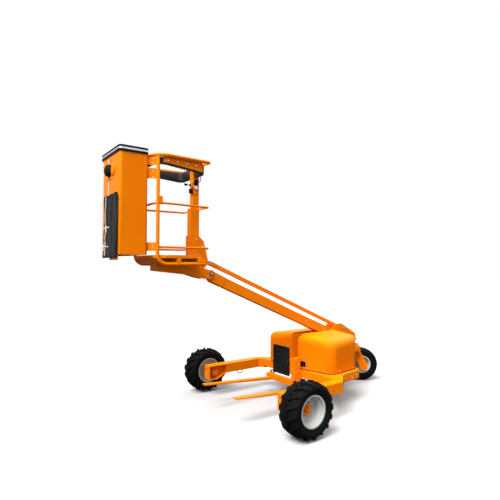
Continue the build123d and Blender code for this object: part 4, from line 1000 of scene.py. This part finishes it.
PORT = [(0.054, -0.001), (0.054, 0.006), (0.05, 0.01), (0.036, 0.012)]
MOUTH = [(0.062, -0.001), (0.062, 0.012), (0.057, 0.03), (0.045, 0.044), (0.026, 0.052),
         (0, 0.054)]
port = Shape()
port.lathe((BIN_FRONT, 0.088, 2.69), FORWARD, PORT, 48)
port.plate((BIN_FRONT, 0.003, 2.61), LEFT, UP, 0.16, 0.016, 0.004, 0.004)
port.plate((BIN_FRONT, 0.025, 2.79), LEFT, UP, 0.03, 0.022, 0.004, 0.006)
port.made("port_flange", "cage", ORANGE, bevel=0.001)
mouth = Shape()
mouth.lathe((BIN_FRONT, -0.02, 2.695), FORWARD, MOUTH, 48)
mouth.made("port_mouth", "cage", SEAL, bevel=0.0008)

STRAP_THICK = 0.0022
straps = Shape()
for y, width in ((-0.226, 0.04), (-0.052, 0.022)):
    straps.slab((BIN_FRONT + 0.0004, y - width / 2, 2.405), LEFT, UP, width, 0.405, STRAP_THICK)
    straps.slab((BIN_FRONT + 0.0024, y - width / 2 + 0.001, 2.77), LEFT, UP, width - 0.002,
                0.034, STRAP_THICK)
straps.slab((BIN_FRONT + 0.0004, -0.246, 1.85), LEFT, UP, 0.026, 0.556, STRAP_THICK)
straps.made("bin_straps", "cage", WEBBING, bevel=0.0005)

# Chute: canvas gathered in upright folds, drawn in where the rope goes round it
# Columns: middle across the bin, width, depth of a fold
FOLDS = [(-0.128, 0.08, 0.016), (-0.058, 0.076, 0.022), (0.012, 0.076, 0.017),
         (0.084, 0.08, 0.026), (0.158, 0.084, 0.02), (0.225, 0.074, 0.03)]
FLAP_LOW, FLAP_HIGH = 1.822, 2.445
FLAP_RIGHT, FLAP_LEFT = -0.168, 0.262
FLAP_HEIGHT = FLAP_HIGH - FLAP_LOW
FLAP_WIDTH = FLAP_LEFT - FLAP_RIGHT
FLAP_ACROSS = 150
FLAP_DOWN = 130
FLAP_THICK = 0.0012
FLAP_GAP = 0.0015
KNOT_Z = (2.122, 1.934)


def flap_depth(y, z):
    """How far the folded canvas stands in front of the bin."""
    depth = FLAP_GAP
    for number, (middle, width, fold) in enumerate(FOLDS):
        sway = 0.006 * sin(9 * z + 1.7 * number) + 0.003 * sin(23 * z + 2.9 * number)
        offset = (y - middle - sway) / (width / 2 * (1.02 - 0.10 * sin(5 * z + number)))
        if abs(offset) < 1:
            swell = 0.82 + 0.18 * sin(11 * z + 2.3 * number)
            depth = max(depth, FLAP_GAP + fold * swell * sqrt(1 - offset * offset))
    if y < 0.03:
        for knot in KNOT_Z:
            depth *= 1 - 0.45 / (1 + ((z - knot) / 0.028) ** 2)
    depth += 0.0022 * sin(60 * y + 31 * z) * sin(47 * z + 1.3)
    return max(FLAP_GAP, depth + 0.006 * ((FLAP_HIGH - z) / FLAP_HEIGHT) ** 3)


def canvas_sheet():
    """The chute as one thin sheet, with the size it was cut to."""
    bm = bmesh.new()
    grid = []
    for i in range(FLAP_DOWN + 1):
        z = FLAP_HIGH - FLAP_HEIGHT * i / FLAP_DOWN
        row = []
        for j in range(FLAP_ACROSS + 1):
            y = FLAP_RIGHT + FLAP_WIDTH * j / FLAP_ACROSS
            row.append(bm.verts.new((BIN_FRONT + flap_depth(y, z), y, z)))
        grid.append(row)
    area = 0.0
    for upper, lower in zip(grid, grid[1:]):
        for j in range(FLAP_ACROSS):
            area += bm.faces.new((upper[j], lower[j], lower[j + 1], upper[j + 1])).calc_area()
    made = smooth_object(bm, "bin_chute", CANVAS)
    thick = made.modifiers.new("thickness", "SOLIDIFY")
    thick.thickness = FLAP_THICK
    thick.offset = 1
    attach(made, "cage")
    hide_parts("bin_flap")


def canvas_line(start, end, wave, out=0.0055, steps=60):
    """Line that lies on the folded canvas; each end is across, then up."""
    points = []
    for number in range(steps + 1):
        share = number / steps
        y = start[0] + (end[0] - start[0]) * share + wave * sin(7 * share)
        z = start[1] + (end[1] - start[1]) * share
        points.append((BIN_FRONT + flap_depth(y, z) + out, y, z))
    return points


canvas_sheet()
hems = Shape()
for z in (FLAP_LOW + 0.012, FLAP_HIGH - 0.014):
    line = canvas_line((FLAP_RIGHT + 0.002, z), (FLAP_LEFT - 0.002, z), 0, 0.0016, 120)
    hems.tube(line, 0.0022, 6)
hems.made("chute_hems", "cage", CANVAS, sharp=60)

# Lashing: taut rope down the chute, two turns round it and two knots
ROPE = 0.0042
KNOT_TAIL = [(0, 0, 0), (0.004, 0.006, -0.022), (0.001, 0.01, -0.046)]
# Columns: start and end, each across and up, and how far the rope wanders
ROPE_RUNS = [
    ((-0.06, 2.43), (-0.052, 2.13), 0.004),
    ((-0.052, 2.118), (-0.108, 1.945), -0.006),
    ((-0.04, 2.118), (-0.074, 1.945), 0.008),
    ((-0.104, 1.93), (-0.08, 1.846), 0.006),
]
for z in KNOT_Z:
    ROPE_RUNS.append(((FLAP_RIGHT + 0.004, z + 0.004), (0.02, z - 0.004), 0.002))
    ROPE_RUNS.append(((FLAP_RIGHT + 0.004, z - 0.006), (0.02, z + 0.007), 0.002))


def knot(shape, centre):
    """Three crossing loops and a short tail."""
    for tilt in (0.4, 1.5, 2.6):
        loop = []
        for number in range(20):
            angle = 2 * pi * number / 20
            point = Vector((0.004 * sin(2 * angle), 0.0105 * cos(angle), 0.0125 * sin(angle)))
            loop.append(centre + Matrix.Rotation(tilt, 3, "X") @ point)
        shape.tube(loop, ROPE, 8, closed=True)
    shape.tube([centre + Vector(step) for step in KNOT_TAIL], ROPE * 0.9, 8)


lashing = Shape()
for row in ROPE_RUNS:
    lashing.tube(canvas_line(*row), ROPE, 8)
for y, z in zip((-0.049, -0.11), KNOT_Z):
    knot(lashing, Vector((BIN_FRONT + flap_depth(y, z) + 0.011, y, z)))
lashing.made("chute_lashing", "cage", WEBBING, sharp=60)

tab = Shape()
tab.plate((2.082, 0.14, 1.822), LEFT, UP, 0.25, 0.044, 0.006, 0.006)
tab.made("chute_tab", "cage", ORANGE, bevel=0.0008)

# Ring pad: vinyl over foam, crowned between its welted seams
PAD_INSET = 0.0229
PAD_THICK = 0.0255
PAD_TOP = 2.8415
PAD_PANELS = 14
PAD_STEP = 0.012
PAD_FOOT = 2.713
PAD_FOOT_SLOPE = 0.056 / (RING_FRONT - RING_REAR)
PAD_BEND_STEPS = 14
MAST_HALF = 0.0366
REAR_BEND = 0.11 - PAD_INSET
FRONT_BEND = 0.15 - PAD_INSET
RING_MIDDLE = Vector((1.44, 0, 0))


def pad_corners():
    """Corners of the pad in plan, from the mast's left round to its right, with their bends."""
    rear = RING_REAR + PAD_INSET
    front = RING_FRONT - PAD_INSET
    rear_half = RING_REAR_HALF - PAD_INSET
    front_half = RING_FRONT_HALF - PAD_INSET
    left = [(rear, MAST_HALF, 0.0), (rear, rear_half, REAR_BEND), (front, front_half, FRONT_BEND)]
    right = [(x, -y, bend) for x, y, bend in reversed(left)]
    return [(Vector((x, y, 0)), bend) for x, y, bend in left + right]


def pad_plan():
    """Outer line of the pad in plan, in short steps."""
    corners = pad_corners()
    points = [corners[0][0]]
    for index in range(1, len(corners) - 1):
        corner, bend = corners[index]
        before = (corners[index - 1][0] - corner).normalized()
        after = (corners[index + 1][0] - corner).normalized()
        half_angle = before.angle(after) / 2
        reach = bend / tan(half_angle)
        centre = corner + (before + after).normalized() * bend / sin(half_angle)
        start = corner + before * reach - centre
        end = corner + after * reach - centre
        turn = start.angle(end)
        sense = 1 if start.cross(end).z > 0 else -1
        for number in range(PAD_BEND_STEPS + 1):
            share = sense * turn * number / PAD_BEND_STEPS
            points.append(centre + Matrix.Rotation(share, 3, "Z") @ start)
    points.append(corners[-1][0])
    line = [points[0]]
    for point in points[1:]:
        first = line[-1]
        pieces = max(1, int((point - first).length / PAD_STEP))
        line.extend(first.lerp(point, (k + 1) / pieces) for k in range(pieces))
    return line


def pad_low(x):
    """Height of the pad's lower edge."""
    return PAD_FOOT + (x - RING_REAR) * PAD_FOOT_SLOPE


def inward_at(line, index):
    """Level direction square to the line, towards the ring's middle."""
    ahead = (line[min(index + 1, len(line) - 1)] - line[max(index - 1, 0)]).normalized()
    inward = Vector((-ahead.y, ahead.x, 0))
    return -inward if inward.dot(RING_MIDDLE - line[index]) < 0 else inward


def pad_section(share, half):
    """Section of the pad: distance inward, then height. It is tucked in at a seam."""
    panel = share * PAD_PANELS
    edge = min(panel % 1, 1 - panel % 1)
    tuck = 0.0045 * max(0.0, 1 - edge / 0.035)
    outline = []
    for k in range(9):
        v = -1 + 2 * k / 8
        crown = PAD_THICK * (0.80 + 0.20 * (1 - v * v))
        outline.append((crown - tuck + 0.0012 * sin(40 * share + 3 * v), v * (half - 0.004)))
    for k in range(5):
        outline.append((0.0, (1 - 2 * k / 4) * (half - 0.006)))
    return outline


def ring_cushion(line):
    """One closed crowned form along the plan line."""
    lengths = [0.0]
    for a, b in zip(line, line[1:]):
        lengths.append(lengths[-1] + (b - a).length)
    shape = Shape()
    rings = []
    for index, point in enumerate(line):
        inward = inward_at(line, index)
        low = pad_low(point.x)
        outline = pad_section(lengths[index] / lengths[-1], (PAD_TOP - low) / 2)
        base = point + UP * (low + PAD_TOP) / 2
        rings.append(shape.ring([base + inward * out + UP * up for out, up in outline]))
    shape.skin(rings)
    made = shape.made("ring_cushion", "cage", VINYL, sharp=75, replaces=("ring_pad",))
    smooth = made.modifiers.new("rounding", "SUBSURF")
    smooth.levels = 1
    smooth.render_levels = 1


pad_line = pad_plan()
ring_cushion(pad_line)
piping = Shape()
for upper in (True, False):
    points = []
    for index in range(1, len(pad_line) - 1):
        point = pad_line[index]
        z = PAD_TOP - 0.003 if upper else pad_low(point.x) + 0.0035
        points.append(point + inward_at(pad_line, index) * 0.0195 + UP * z)
    piping.tube(points, 0.0026, 6)
piping.made("ring_piping", "cage", VINYL, sharp=60)

# Floor: tread sheet set into the tray, and a dark sheet below it as painted shade on the floor's
# underside
FLOOR_LEFT = [(1.214, 0.29), (1.225, 0.30), (1.56, 0.318), (1.64, 0.30), (1.69, 0.235),
              (1.70, 0.15)]
FLOOR_OUTLINE = [(x, -y) for x, y in FLOOR_LEFT] + FLOOR_LEFT[::-1]
tread = Shape()
tread.prism((0, 0, 1.85), FORWARD, LEFT, FLOOR_OUTLINE, 0.0025)
tread.made("floor_tread", "cage", DECK, bevel=0.0006)
under = Shape()
under.prism((0, 0, 1.8436), FORWARD, LEFT, FLOOR_OUTLINE, 0.0016)
under.made("floor_painted_shade", "cage", PAINTED_SHADE)

# Bin: dark strip under its foot, behind the chute, as painted shade
foot = Shape()
foot.slab((1.955, -0.25, 1.842), FORWARD, LEFT, 0.126, 0.518, 0.009)
foot.made("bin_foot_painted_shade", "cage", PAINTED_SHADE)

camera()
surroundings()
pale_floor()
lamps()
dress_nodes()
bpy.context.scene.view_settings.view_transform = "Standard"
